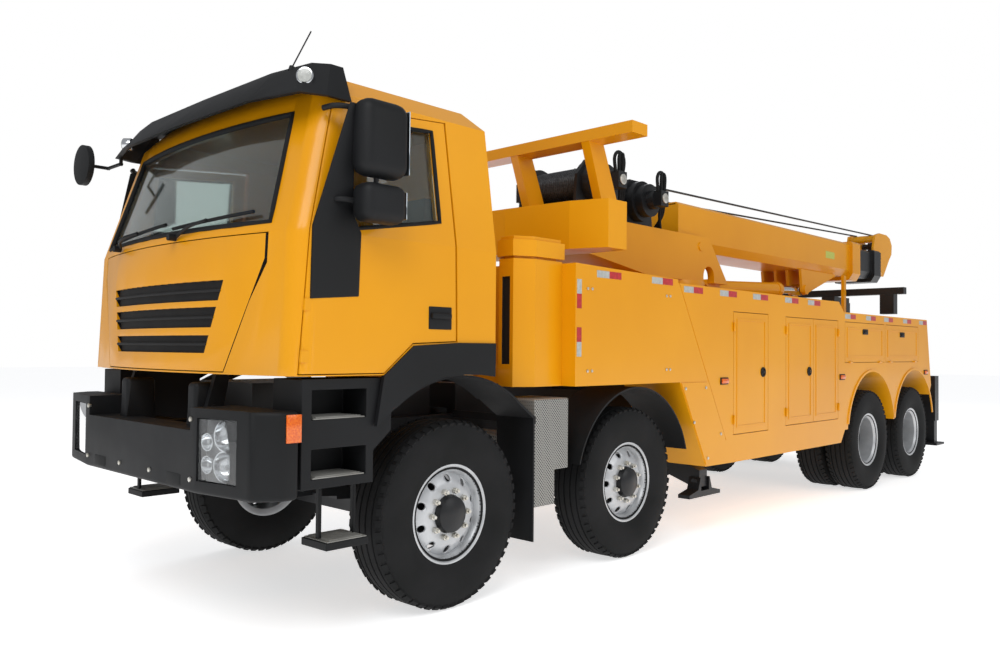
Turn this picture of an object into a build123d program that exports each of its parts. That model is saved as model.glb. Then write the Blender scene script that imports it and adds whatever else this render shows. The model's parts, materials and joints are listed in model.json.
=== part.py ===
"""A heavy 8x4 cab-over tow truck with a slewing recovery crane and an underlift.

Millimetres. +X is the truck's left side, the truck faces -Y and +Z is up. The origin
lies on the ground, half way along the truck and on its centre line.
"""

import os
from math import cos, hypot, radians, sin

from build123d import *

os.makedirs("parts", exist_ok=True)

# Running gear
FRONT_AXLE_Y = -4335.0
AXLE_SPACING = (1800.0, 4600.0, 1400.0)
TYRE_RADIUS = 560.0
TYRE_WIDTH = 310.0
TREAD_WIDTH = 256.0
BEAD_RADIUS = 263.5
BEAD_WIDTH = 225.0
RIM_GAP = 0.5
RIM_WALL = 17.0
FLANGE_RADIUS = 297.0
FLANGE_THICKNESS = 10.0
FRONT_TYRE_X = 1020.0
TWIN_MIDDLE_X = 912.5
TWIN_SPACING = 345.0
DRUM_RADIUS = 205.0
KINGPIN_X = 838.0
KINGPIN_RADIUS = 26.0
FRONT_SPINDLE_RADIUS = 40.0
REAR_SPINDLE_RADIUS = 60.0
PIN_CLEARANCE = 0.3
SEAT_GAP = 0.3
SLIDE_FIT = 0.5

# Frame
RAIL_X = 430.0
RAIL_FLANGE = 90.0
RAIL_WALL = 10.0
RAIL_BOTTOM = 780.0
RAIL_TOP = 1080.0
FRAME_FRONT = FRONT_AXLE_Y - 1050.0
FRAME_REAR = FRONT_AXLE_Y + 8500.0
SUBFRAME_TOP = 1300.0
SPRING_X = 385.0
SPRING_WIDTH = 90.0
LEAF_THICKNESS = 20.0

# Cab
CAB_HALF_WIDTH = 1250.0
CAB_ROOF_HALF_WIDTH = 1150.0
CAB_REAR = FRONT_AXLE_Y + 260.0
CAB_BOTTOM = 1400.0
CAB_WALL = 60.0
CAB_CORNER = 130.0
WAIST_Z = 2140.0
CANT_Z = 2900.0
ROOF_Z = 3020.0
DOOR_SKIN = 20.0
DOOR_GAP = 6.0
DOOR_REAR_ROOM = 8.0
DOOR_STEP = 15.0
GLASS_THICKNESS = 6.0
GLASS_GAP = 0.3
FLAP_THICKNESS = 35.0
TILT_Y = FRONT_AXLE_Y - 1200.0
TILT_Z = 1200.0
TILT_PIN_RADIUS = 30.0
TILT_LUG_X = (500.0, 535.0)

# Front end below the cab
BUMPER_FRONT = FRONT_AXLE_Y - 1405.0
BUMPER_REAR = FRONT_AXLE_Y - 1120.0
BUMPER_BOTTOM = 790.0
BUMPER_TOP = 1230.0
BUMPER_WALL = 60.0
STEP_TREAD_Z = 1112.0
STEP_TREAD_HALF = 612.0
LAMP_INNER = 738.0
LAMP_OUTER = 1050.0
LAMP_BOTTOM = 858.0
LAMP_TOP = 1180.0

# Recovery body
BODY_SIDE = 1250.0
BODY_INNER = 700.0
BODY_FRONT = FRONT_AXLE_Y + 1040.0
LOWER_BODY_FRONT = FRONT_AXLE_Y + 2340.0
BODY_STEP = FRONT_AXLE_Y + 5480.0
BODY_REAR = FRONT_AXLE_Y + 8300.0
PANEL_BOTTOM = 1297.0
PANEL_TOP = 2120.0
BODY_TOP = 2080.0
REAR_BODY_TOP = 1975.0
BODY_BOTTOM = 590.0
ARCH_RADIUS = 690.0
ARCH_Z = 640.0
LOCKER_DEPTH = 500.0
LOCKER_DOOR = 40.0
LOCKER_GAP = 6.0
DECK_THICKNESS = 40.0

# Slewing crane
SLEW_Y = FRONT_AXLE_Y + 3950.0
RING_RADIUS = 470.0
RING_Z = 2140.0
RING_GAP = 0.3
TURRET_FLOOR = 2245.0
TURRET_TOP = 2700.0
CHEEK_OUTER = 420.0
CHEEK_INNER = 345.0
LUFF_Y = FRONT_AXLE_Y + 4080.0
LUFF_Z = 2600.0
LUFF_PIN_RADIUS = 45.0
WEIGHT_FRONT = FRONT_AXLE_Y + 1337.0
WEIGHT_REAR = FRONT_AXLE_Y + 1700.0
WEIGHT_HALF_WIDTH = 1200.0
WEIGHT_BOTTOM = 2290.0
WEIGHT_TOP = 2646.0

# Boom: rear end is the tip
BOOM_ROOT = FRONT_AXLE_Y + 3850.0
BOOM_BOTTOM = 2580.0
BOOM_TOP = 3040.0
BOOM_HALF = 300.0
BOOM_WALL = 14.0
BOOM_BEVEL = 90.0
SLIDE_GAP = 20.0
OUTER_END = FRONT_AXLE_Y + 8450.0
MIDDLE_END = FRONT_AXLE_Y + 9320.0
MIDDLE_START = FRONT_AXLE_Y + 4700.0
HEAD_START = FRONT_AXLE_Y + 5300.0
COLLAR_LENGTH = 270.0
COLLAR_PROUD = 45.0
TIP_Y = FRONT_AXLE_Y + 10075.0
SHEAVE_Y = FRONT_AXLE_Y + 9400.0
SHEAVE_Z = 3205.0
LUG_Y = FRONT_AXLE_Y + 6850.0
LUG_Z = 2330.0
CYLINDER_X = 165.0
BARREL_RADIUS = 82.0
BARREL_BORE = 66.0
ROD_RADIUS = 48.0
BARREL_PIN_Y = FRONT_AXLE_Y + 4550.0
BARREL_PIN_Z = 2222.0
BARREL_LENGTH = 1750.0

# Stabilisers and underlift
OUTRIGGER_Y = FRONT_AXLE_Y + 3020.0
OUTRIGGER_SLOPE = 17.0
FOOT_Z = 320.0
FOOT_X = 1100.0
JACK_X = 1130.0
JACK_Y = FRONT_AXLE_Y + 8850.0
JACK_SLEEVE = 75.0
JACK_LEG = 60.0
LIFT_PIN_Y = FRONT_AXLE_Y + 8620.0
LIFT_PIN_Z = 760.0
CROSSBAR_Y = FRONT_AXLE_Y + 8250.0
CROSSBAR_Z = 2370.0
CROSSBAR_HALF = 1000.0

AXLE_Y = [FRONT_AXLE_Y + sum(AXLE_SPACING[:count]) for count in range(4)]
HUB_Z = TYRE_RADIUS
SIDES = {"left": 1, "right": -1}


def span(side, near, far):
    """The lower and higher X of a stretch given by its distances from the middle."""
    return sorted((side * near, side * far))


def side_prism(points, x_range, mode=Mode.ADD):
    """A prism across the truck with the side outline (y, z)."""
    with BuildSketch(Plane.YZ.offset(x_range[0])) as outline:
        with BuildLine():
            Polyline(*points, close=True)
        make_face()
    extrude(outline.sketch, amount=x_range[1] - x_range[0], mode=mode)


def front_prism(points, y_range, mode=Mode.ADD):
    """A prism along the truck with the front outline (x, z)."""
    with BuildSketch(Plane.XZ.offset(-y_range[0])) as outline:
        with BuildLine():
            Polyline(*points, close=True)
        make_face()
    extrude(outline.sketch, amount=y_range[0] - y_range[1], mode=mode)


def plan_prism(points, z_range, mode=Mode.ADD):
    """An upright prism with the plan outline (x, y)."""
    with BuildSketch(Plane.XY.offset(z_range[0])) as outline:
        with BuildLine():
            Polyline(*points, close=True)
        make_face()
    extrude(outline.sketch, amount=z_range[1] - z_range[0], mode=mode)


def block(x_range, y_range, z_range, mode=Mode.ADD):
    """A block between two planes in each direction."""
    ranges = (x_range, y_range, z_range)
    with Locations(Vector(*(sum(pair) / 2 for pair in ranges))):
        Box(*(pair[1] - pair[0] for pair in ranges), mode=mode)


def bar(plane, radius, length, mode=Mode.ADD):
    """A round bar that starts on a plane and runs along its normal."""
    with BuildSketch(plane) as section:
        Circle(radius)
    extrude(section.sketch, amount=length, mode=mode)


def cross_bar(radius, y, z, x_range, mode=Mode.ADD):
    """A round bar across the truck."""
    plane = Plane((x_range[0], y, z), x_dir=(0, 1, 0), z_dir=(1, 0, 0))
    bar(plane, radius, x_range[1] - x_range[0], mode)


def long_bar(radius, x, z, y_range, mode=Mode.ADD):
    """A round bar along the truck."""
    plane = Plane((x, y_range[0], z), x_dir=(1, 0, 0), z_dir=(0, 1, 0))
    bar(plane, radius, y_range[1] - y_range[0], mode)


def post(radius, x, y, z_range, mode=Mode.ADD):
    """An upright round bar."""
    bar(Plane((x, y, z_range[0])), radius, z_range[1] - z_range[0], mode)


def turned(plane, points):
    """A solid turned round a plane's own x axis from an outline (x, radius)."""
    with BuildSketch(plane) as section:
        with BuildLine():
            Polyline(*points, close=True)
        make_face()
    revolve(section.sketch, axis=Axis(plane.origin, plane.x_dir))


def wheel_plane(side, x, axle):
    """A plane through a wheel's axis, with x pointing outwards and y upwards."""
    return Plane((side * x, AXLE_Y[axle], HUB_Z), x_dir=(side, 0, 0), z_dir=(0, -side, 0))


def tyre(plane):
    """A tyre on its beads: a crowned tread, shoulders and bulged walls, drawn straight."""
    half, tread, bead = TYRE_WIDTH / 2, TREAD_WIDTH / 2, BEAD_WIDTH / 2
    shoulder = TYRE_RADIUS - 12
    wall = (TYRE_RADIUS + BEAD_RADIUS) / 2
    right = [
        (tread * 0.6, TYRE_RADIUS), (tread, shoulder), (half - 12, shoulder - 36),
        (half, wall + 30), (half, wall - 40), (bead + 12, FLANGE_RADIUS + 3),
        (bead, FLANGE_RADIUS + 3), (bead, BEAD_RADIUS),
    ]
    with BuildSketch(plane) as section:
        with BuildLine():
            Polyline(*right, *[(-x, y) for x, y in right[::-1]], close=True)
        make_face()
    revolve(section.sketch, axis=Axis(plane.origin, plane.x_dir))


def front_rim(plane):
    """A single rim with its convex disc, hub cap and brake drum, bored for the spindle."""
    seat = BEAD_RADIUS - RIM_GAP
    well = seat - RIM_WALL
    inner = BEAD_WIDTH / 2 + RIM_GAP
    outer = inner + FLANGE_THICKNESS
    bore = FRONT_SPINDLE_RADIUS + PIN_CLEARANCE
    turned(
        plane,
        [
            (inner, FLANGE_RADIUS), (outer, FLANGE_RADIUS), (outer, well + 6), (105, well),
            (62, well), (104, 190), (104, 112), (150, 100), (158, 72), (158, 0), (112, 0),
            (112, bore), (-95, bore), (-95, DRUM_RADIUS), (20, DRUM_RADIUS), (30, 150),
            (88, 150), (88, 188), (46, well), (-105, well), (-outer, well + 6),
            (-outer, FLANGE_RADIUS), (-inner, FLANGE_RADIUS), (-inner, seat), (inner, seat),
        ],
    )


def twin_rim(plane):
    """Two rims back to back on one disc, with a deep dish, a long hub and a drum."""
    seat = BEAD_RADIUS - RIM_GAP
    well = seat - RIM_WALL
    centre = TWIN_SPACING / 2
    near = centre - BEAD_WIDTH / 2 - RIM_GAP
    far = centre + BEAD_WIDTH / 2 + RIM_GAP
    edge = far + FLANGE_THICKNESS
    lip = near - FLANGE_THICKNESS
    bore = REAR_SPINDLE_RADIUS + PIN_CLEARANCE
    turned(
        plane,
        [
            (far, FLANGE_RADIUS), (edge, FLANGE_RADIUS), (edge, well + 6), (edge - 18, well),
            (22, well), (22, 150), (150, 130), (165, 100), (165, 0), (120, 0), (120, bore),
            (-290, bore), (-290, DRUM_RADIUS), (-60, DRUM_RADIUS), (-50, 150), (-6, 150),
            (-6, well), (18 - edge, well), (-edge, well + 6), (-edge, FLANGE_RADIUS),
            (-far, FLANGE_RADIUS), (-far, seat), (-near, seat), (-near, FLANGE_RADIUS),
            (-lip, FLANGE_RADIUS), (-lip, seat), (lip, seat), (lip, FLANGE_RADIUS),
            (near, FLANGE_RADIUS), (near, seat), (far, seat),
        ],
    )


def leaf_pack(y_middle, z_middle, half_length, rise, side, leaves=5):
    """A pack of leaves, each shorter than the one above it and bent to the same curve."""
    for leaf in range(leaves):
        reach = half_length * (1 - 0.18 * leaf)
        bottom = z_middle - LEAF_THICKNESS * leaf * (1 if rise > 0 else -1)
        end = bottom + rise * (reach / half_length) ** 2
        lift = LEAF_THICKNESS
        x_low, x_high = span(side, SPRING_X - SPRING_WIDTH / 2, SPRING_X + SPRING_WIDTH / 2)
        with BuildSketch(Plane.YZ.offset(x_low)) as outline:
            with BuildLine():
                left, right = y_middle - reach, y_middle + reach
                ThreePointArc((left, end), (y_middle, bottom), (right, end))
                Line((right, end), (right, end + lift))
                ThreePointArc(
                    (right, end + lift), (y_middle, bottom + lift), (left, end + lift)
                )
                Line((left, end + lift), (left, end))
            make_face()
        extrude(outline.sketch, amount=x_high - x_low)


parts = {}


def keep(name, part):
    """Label a finished part and keep it for writing."""
    part.label = name
    parts[name] = part


# Wheels: a tyre and its rim are separate solids in one node
for side_name, side in SIDES.items():
    for axle in (0, 1):
        with BuildPart() as wheel:
            tyre(wheel_plane(side, FRONT_TYRE_X, axle))
            front_rim(wheel_plane(side, FRONT_TYRE_X, axle))
        keep(f"wheel_{axle + 1}_{side_name}", wheel.part)
    for axle in (2, 3):
        with BuildPart() as twin_wheel:
            for offset in (-TWIN_SPACING / 2, TWIN_SPACING / 2):
                tyre(wheel_plane(side, TWIN_MIDDLE_X + offset, axle))
            twin_rim(wheel_plane(side, TWIN_MIDDLE_X, axle))
        keep(f"wheel_{axle + 1}_{side_name}", twin_wheel.part)

# Steering knuckles: two ears on a kingpin, a back plate, a spindle and a steering arm
EYE_RADIUS = 46.0
EYE_HALF_HEIGHT = 90.0
EAR_THICKNESS = 40.0
EAR_GAP = 5.0
PLATE_X = KINGPIN_X + EYE_RADIUS + 8.0
PLATE_THICKNESS = 26.0
ear_low = EYE_HALF_HEIGHT + EAR_GAP
ear_high = ear_low + EAR_THICKNESS
for side_name, side in SIDES.items():
    for axle in (0, 1):
        y = AXLE_Y[axle]
        with BuildPart() as knuckle:
            post(KINGPIN_RADIUS, side * KINGPIN_X, y, (HUB_Z - ear_high, HUB_Z + ear_high))
            for low, high in ((ear_low, ear_high), (-ear_high, -ear_low)):
                post(50, side * KINGPIN_X, y, (HUB_Z + low, HUB_Z + high))
                block(
                    span(side, KINGPIN_X, PLATE_X + PLATE_THICKNESS),
                    (y - 50, y + 50),
                    (HUB_Z + low, HUB_Z + high),
                )
            block(
                span(side, PLATE_X, PLATE_X + PLATE_THICKNESS),
                (y - 70, y + 70),
                (HUB_Z - ear_high, HUB_Z + ear_high),
            )
            cross_bar(
                FRONT_SPINDLE_RADIUS, y, HUB_Z,
                span(side, PLATE_X + PLATE_THICKNESS, FRONT_TYRE_X + 105),
            )
            block(
                span(side, KINGPIN_X - 30, KINGPIN_X + 10),
                (y + 30, y + 210),
                (HUB_Z - ear_high, HUB_Z - ear_low),
            )
        keep(f"knuckle_{axle + 1}_{side_name}", knuckle.part)

# Axles: two dropped beams with kingpin eyes, two drive axles with their gear housings
SEAT_TOP = 560.0
with BuildPart() as axles:
    for axle in (0, 1):
        y = AXLE_Y[axle]
        front_prism(
            [(KINGPIN_X - 30, 600), (620, 545), (-620, 545), (30 - KINGPIN_X, 600),
             (30 - KINGPIN_X, 520), (-600, 450), (600, 450), (KINGPIN_X - 30, 520)],
            (y - 42, y + 42),
        )
        for side in SIDES.values():
            post(EYE_RADIUS, side * KINGPIN_X, y,
                 (HUB_Z - EYE_HALF_HEIGHT, HUB_Z + EYE_HALF_HEIGHT))
            post(KINGPIN_RADIUS + PIN_CLEARANCE, side * KINGPIN_X, y,
                 (HUB_Z - EYE_HALF_HEIGHT - 1, HUB_Z + EYE_HALF_HEIGHT + 1), Mode.SUBTRACT)
            block(span(side, SPRING_X - 50, SPRING_X + 50), (y - 80, y + 80), (530, SEAT_TOP))
    for axle in (2, 3):
        for side in SIDES.values():
            turned(
                wheel_plane(side, 0, axle),
                [(0, 0), (0, 225), (90, 215), (190, 150), (260, 78), (588, 78), (588, 125),
                 (612, 125), (612, REAR_SPINDLE_RADIUS), (TWIN_MIDDLE_X + 112, REAR_SPINDLE_RADIUS),
                 (TWIN_MIDDLE_X + 112, 0)],
            )
            block(span(side, SPRING_X - 50, SPRING_X + 50),
                  (AXLE_Y[axle] - 60, AXLE_Y[axle] + 60), (HUB_Z + 40, HUB_Z + 100))
keep("axles", axles.part)

# Leaf springs with their hangers, and the rear balance springs on a cross shaft
BALANCE_Y = (AXLE_Y[2] + AXLE_Y[3]) / 2
FRONT_LEAF_Z = SEAT_TOP + 4 * LEAF_THICKNESS
REAR_LEAF_END = HUB_Z + 100
REAR_LEAF_RISE = 35.0
with BuildPart() as leaf_springs:
    for side in SIDES.values():
        for axle in (0, 1):
            y = AXLE_Y[axle]
            leaf_pack(y, FRONT_LEAF_Z, 680, 70, side)
            for way in (-1, 1):
                block(span(side, SPRING_X - 30, SPRING_X + 30),
                      sorted((y + way * 650, y + way * 690)),
                      (FRONT_LEAF_Z + 70, RAIL_BOTTOM))
        leaf_pack(BALANCE_Y, REAR_LEAF_END + REAR_LEAF_RISE,
                  AXLE_SPACING[2] / 2 + 40, -REAR_LEAF_RISE, side, leaves=4)
        block(span(side, SPRING_X - 50, SPRING_X + 50), (BALANCE_Y - 110, BALANCE_Y + 110),
              (HUB_Z + 60, REAR_LEAF_END + REAR_LEAF_RISE + 4))
        block(span(side, 250, 320), (BALANCE_Y - 90, BALANCE_Y + 90),
              (HUB_Z + 10, RAIL_BOTTOM))
        block(span(side, 250, RAIL_X), (BALANCE_Y - 90, BALANCE_Y + 90),
              (RAIL_BOTTOM - 15, RAIL_BOTTOM))
    cross_bar(45, BALANCE_Y, HUB_Z + 60, (-SPRING_X - 50, SPRING_X + 50))
keep("leaf_springs", leaf_springs.part)

# Frame: two channel rails, cross members, the recovery subframe and the slewing pedestal
CROSS_MEMBERS = (-950.0, 700.0, 1250.0, 2500.0, 3500.0, 4400.0, 5400.0, 6300.0, 7100.0, 7900.0)
SUBFRAME_FRONT = FRONT_AXLE_Y + 700.0
PEDESTAL = (SLEW_Y - 520.0, SLEW_Y + 480.0)
with BuildPart() as chassis_frame:
    for side in SIDES.values():
        inner, outer = RAIL_X - RAIL_FLANGE, RAIL_X
        web = outer - RAIL_WALL
        front_prism(
            [(side * x, z) for x, z in (
                (inner, RAIL_BOTTOM), (outer, RAIL_BOTTOM), (outer, RAIL_TOP),
                (inner, RAIL_TOP), (inner, RAIL_TOP - RAIL_WALL), (web, RAIL_TOP - RAIL_WALL),
                (web, RAIL_BOTTOM + RAIL_WALL), (inner, RAIL_BOTTOM + RAIL_WALL))],
            (FRAME_FRONT, FRAME_REAR),
        )
        block(span(side, inner, outer), (SUBFRAME_FRONT, FRAME_REAR), (RAIL_TOP, SUBFRAME_TOP))
    for offset in CROSS_MEMBERS:
        y = FRONT_AXLE_Y + offset
        block((RAIL_WALL - RAIL_X, RAIL_X - RAIL_WALL), (y - 45, y + 45),
              (RAIL_BOTTOM + 60, RAIL_TOP - 60))
    for y_low in (SUBFRAME_FRONT, FRONT_AXLE_Y + 2600, FRONT_AXLE_Y + 5600, FRAME_REAR - 120):
        block((-RAIL_X, RAIL_X), (y_low, y_low + 120), (RAIL_TOP + 40, SUBFRAME_TOP))
    block((-520, 520), PEDESTAL, (SUBFRAME_TOP, BODY_TOP - DECK_THICKNESS))
    # Outrigger housing across the frame, just below the rails
    for middle in (-150.5, 0, 150.5):
        half = 15.5 if middle == 0 else 10
        block((-RAIL_X - 20, RAIL_X + 20),
              (OUTRIGGER_Y + middle - half, OUTRIGGER_Y + middle + half), (560, RAIL_BOTTOM))
    # Tail: jack sleeves on a cross beam and the underlift's two pin plates
    for side in SIDES.values():
        block(span(side, JACK_X - JACK_SLEEVE, JACK_X + JACK_SLEEVE),
              (JACK_Y - JACK_SLEEVE, JACK_Y + JACK_SLEEVE), (640, 1240))
        block(span(side, JACK_X - JACK_LEG - SLIDE_FIT, JACK_X + JACK_LEG + SLIDE_FIT),
              (JACK_Y - JACK_LEG - SLIDE_FIT, JACK_Y + JACK_LEG + SLIDE_FIT), (639, 1200),
              Mode.SUBTRACT)
        block(span(side, RAIL_X, JACK_X - JACK_SLEEVE),
              (JACK_Y - JACK_SLEEVE, JACK_Y - JACK_SLEEVE + 110), (860, 1160))
        block(span(side, 130, 170), (FRAME_REAR - 90, LIFT_PIN_Y + 90), (560, 1180))
        block(span(side, RAIL_X - 60, RAIL_X), (FRAME_REAR - 100, JACK_Y + JACK_SLEEVE - 20),
              (860, 1160))
    block((-RAIL_X, RAIL_X), (FRAME_REAR, FRAME_REAR + 30), (820, 1180))
    cross_bar(40, LIFT_PIN_Y, LIFT_PIN_Z, (-200, 200))
keep("chassis_frame", chassis_frame.part)

with BuildPart() as engine:
    block((-320, 320), (FRONT_AXLE_Y - 850, FRONT_AXLE_Y + 550), (620, 1330))
    for offset in (-650, 350):
        block((RAIL_WALL - RAIL_X, RAIL_X - RAIL_WALL),
              (FRONT_AXLE_Y + offset - 40, FRONT_AXLE_Y + offset + 40), (900, 960))
keep("engine", engine.part)


def cab_section(z, half_width, front_middle, front_corner, rear, inset):
    """One level of the cab in plan: a bowed front with rounded corners."""
    half = half_width - inset
    middle, corner = front_middle + inset, front_corner + inset
    back = rear - inset
    turn = CAB_CORNER
    with BuildSketch(Plane.XY.offset(z)) as level:
        with BuildLine():
            ThreePointArc((turn - half, corner), (0, middle), (half - turn, corner))
            for way in (-1, 1):
                ThreePointArc(
                    (way * (half - turn), corner),
                    (way * (half - turn * 0.29), corner + turn * 0.29),
                    (way * half, corner + turn),
                )
                Line((way * half, corner + turn), (way * half, back))
            Line((-half, back), (half, back))
        make_face()
    return level.sketch


def cab_form(inset, mode=Mode.ADD, floor=None):
    """The cab's outer form, or that form drawn in by an inset on every side.

    The floor is drawn up by the same inset, or by its own amount where one is given.
    """
    rise = inset if floor is None else floor
    # Level, half width, front at the middle, front at the corners, rear
    levels = (
        (CAB_BOTTOM + rise, CAB_HALF_WIDTH, -1320.0, -1180.0, CAB_REAR),
        (WAIST_Z, CAB_HALF_WIDTH, -1290.0, -1150.0, CAB_REAR),
        (CANT_Z, CAB_ROOF_HALF_WIDTH, -1020.0, -930.0, CAB_REAR - 10),
        (ROOF_Z - inset, CAB_ROOF_HALF_WIDTH - 130, -900.0, -840.0, CAB_REAR - 90),
    )
    sections = [
        cab_section(z, half, FRONT_AXLE_Y + middle, FRONT_AXLE_Y + corner, rear, inset)
        for z, half, middle, corner, rear in levels
    ]
    loft(sections, ruled=True, mode=mode)


DOOR_OUTLINE = [
    (-1120.0, 1412.0), (-600.0, 1412.0), (-400.0, 1575.0), (-72.0, 1590.0), (-98.0, 2880.0),
    (-885.0, 2815.0), (-1070.0, 2140.0),
]
WINDOW_OUTLINE = [(-830.0, 2165.0), (-190.0, 2275.0), (-200.0, 2810.0), (-790.0, 2760.0)]
WINDSCREEN_OUTLINE = [(-1010.0, 2190.0), (1010.0, 2190.0), (920.0, 2800.0), (-920.0, 2800.0)]
FLAP_OUTLINE = [
    (-730.0, 1415.0), (730.0, 1415.0), (1000.0, 2000.0), (1000.0, 2130.0), (-1000.0, 2130.0),
    (-1000.0, 2000.0),
]
# The flap's corners sink as it lifts, so its opening is wider at the top
FLAP_ROOM_OUTLINE = [
    (-730.0, 1415.0), (730.0, 1415.0), (902.0, 1788.0), (1013.0, 1980.0), (1013.0, 2130.0),
    (-1013.0, 2130.0), (-1013.0, 1980.0), (-902.0, 1788.0),
]


def grown(points, amount):
    """An outline with each corner moved so that every side shifts by an amount."""
    count = len(points)
    area = sum(
        points[i][0] * points[(i + 1) % count][1] - points[(i + 1) % count][0] * points[i][1]
        for i in range(count)
    )
    turn = 1 if area > 0 else -1
    result = []
    for i, (x, y) in enumerate(points):
        before, after = points[i - 1], points[(i + 1) % count]
        ax, ay = x - before[0], y - before[1]
        bx, by = after[0] - x, after[1] - y
        la, lb = hypot(ax, ay), hypot(bx, by)
        nax, nay = turn * ay / la, -turn * ax / la
        nbx, nby = turn * by / lb, -turn * bx / lb
        scale = amount / (1 + nax * nbx + nay * nby)
        result.append((x + scale * (nax + nbx), y + scale * (nay + nby)))
    return result


def behind_axle(points):
    """Side points measured from the first axle, moved to the truck's own frame."""
    return [(FRONT_AXLE_Y + y, z) for y, z in points]


door_points = behind_axle(DOOR_OUTLINE)
doorway_points = behind_axle([
    (y + DOOR_REAR_ROOM if y > -200 else y, z) for y, z in DOOR_OUTLINE])
window_points = behind_axle(WINDOW_OUTLINE)
DOOR_HINGE_Z = (1500.0, 1760.0)


def door_front(z):
    """Y of the door's slanted front edge at a height."""
    (low_y, low_z), (high_y, high_z) = door_points[0], door_points[-1]
    return low_y + (high_y - low_y) * (z - low_z) / (high_z - low_z)


# Trim round the cab's wheel arch, from its front foot over the wheel to its rear end
ARCH_TRIM = [
    (-654.0, 1127.0), (-560.0, 1196.0), (-450.0, 1272.0), (-320.0, 1341.0), (-167.0, 1382.0),
    (0.0, 1393.0), (140.0, 1390.0), (252.0, 1378.0), (255.0, 1580.0), (-60.0, 1580.0),
    (-396.0, 1560.0), (-606.0, 1396.0),
]
SIDE_REACH = CAB_HALF_WIDTH + 50
DOOR_INNER_REACH = CAB_ROOF_HALF_WIDTH - 220
FRONT_REACH = (FRONT_AXLE_Y - 1500.0, FRONT_AXLE_Y - 800.0)

# Cab shell: hollow, cut for doors, windscreen and the front flap, arched over the wheels
with BuildPart() as cab_shell:
    cab_form(0)
    cab_form(CAB_WALL, Mode.SUBTRACT)
    for side in SIDES.values():
        side_prism([(TILT_Y - 50, TILT_Z), (TILT_Y + 50, TILT_Z), (TILT_Y + 90, CAB_BOTTOM),
                    (TILT_Y + 90, CAB_BOTTOM + 5), (TILT_Y + 10, CAB_BOTTOM + 5)],
                   span(side, *TILT_LUG_X))
        cross_bar(50, TILT_Y, TILT_Z, span(side, *TILT_LUG_X))
        cross_bar(TILT_PIN_RADIUS + PIN_CLEARANCE, TILT_Y, TILT_Z,
                  span(side, TILT_LUG_X[0] - 1, TILT_LUG_X[1] + 1), Mode.SUBTRACT)
        side_prism(behind_axle(ARCH_TRIM), span(side, CAB_HALF_WIDTH - 14, CAB_HALF_WIDTH + 12))
    front_prism(WINDSCREEN_OUTLINE, FRONT_REACH, Mode.SUBTRACT)

with BuildPart() as flap_room:
    cab_form(-20)
    cab_form(FLAP_THICKNESS + DOOR_GAP, Mode.SUBTRACT, floor=-21)
    front_prism(grown(FLAP_ROOM_OUTLINE, DOOR_GAP), FRONT_REACH, Mode.INTERSECT)
door_rooms = []
for side in SIDES.values():
    with BuildPart() as door_room:
        cab_form(-20)
        cab_form(CAB_WALL + 1, Mode.SUBTRACT, floor=-21)
        side_prism(grown(doorway_points, DOOR_GAP), span(side, DOOR_INNER_REACH, SIDE_REACH),
                   Mode.INTERSECT)
    door_rooms.append(door_room.part)
with BuildPart() as shell_with_recess:
    add(cab_shell.part)
    for room in (flap_room.part, *door_rooms):
        add(room, mode=Mode.SUBTRACT)
    # Room on the floor for the door's inner corner as it swings
    for side in SIDES.values():
        block(span(side, CAB_HALF_WIDTH - 165, CAB_HALF_WIDTH - 50),
              (FRONT_AXLE_Y - 1126, FRONT_AXLE_Y - 1005),
              (CAB_BOTTOM + DOOR_GAP, CAB_BOTTOM + CAB_WALL + 1), Mode.SUBTRACT)
keep("cab_shell", shell_with_recess.part)

with BuildPart() as flap_stop_band:
    cab_form(FLAP_THICKNESS - 1)
    cab_form(FLAP_THICKNESS + DOOR_GAP - SEAT_GAP, Mode.SUBTRACT, floor=-21)
    block((-600, 600), FRONT_REACH, (1500, 1550), Mode.INTERSECT)
    block((-500, 500), FRONT_REACH, (1490, 1560), Mode.SUBTRACT)
# Grille: rows of openings in three groups, 20 deep in the flap's face
GRILLE_DEPTH = 20.0
GRILLE_ROWS = [
    (1510.0, 1553.0), (1563.0, 1606.0), (1648.0, 1697.0), (1709.0, 1758.0), (1792.0, 1840.0),
    (1852.0, 1900.0),
]


def grille_half(z):
    """Half the grille's width at a height."""
    return 560 + (z - 1506) * 0.343


with BuildPart() as grille_room:
    for low, high in GRILLE_ROWS:
        front_prism([(-grille_half(low), low), (grille_half(low), low),
                     (grille_half(high), high), (-grille_half(high), high)], FRONT_REACH)
    cab_form(GRILLE_DEPTH, Mode.SUBTRACT, floor=-21)
with BuildPart() as front_flap:
    cab_form(0)
    cab_form(FLAP_THICKNESS, Mode.SUBTRACT, floor=-1)
    front_prism(FLAP_OUTLINE, FRONT_REACH, Mode.INTERSECT)
    add(flap_stop_band.part)
    add(grille_room.part, mode=Mode.SUBTRACT)
keep("front_flap", front_flap.part)

with BuildPart() as windscreen:
    cab_form(14)
    cab_form(14 + GLASS_THICKNESS, Mode.SUBTRACT)
    front_prism(grown(WINDSCREEN_OUTLINE, -GLASS_GAP), FRONT_REACH, Mode.INTERSECT)
keep("windscreen", windscreen.part)

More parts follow.
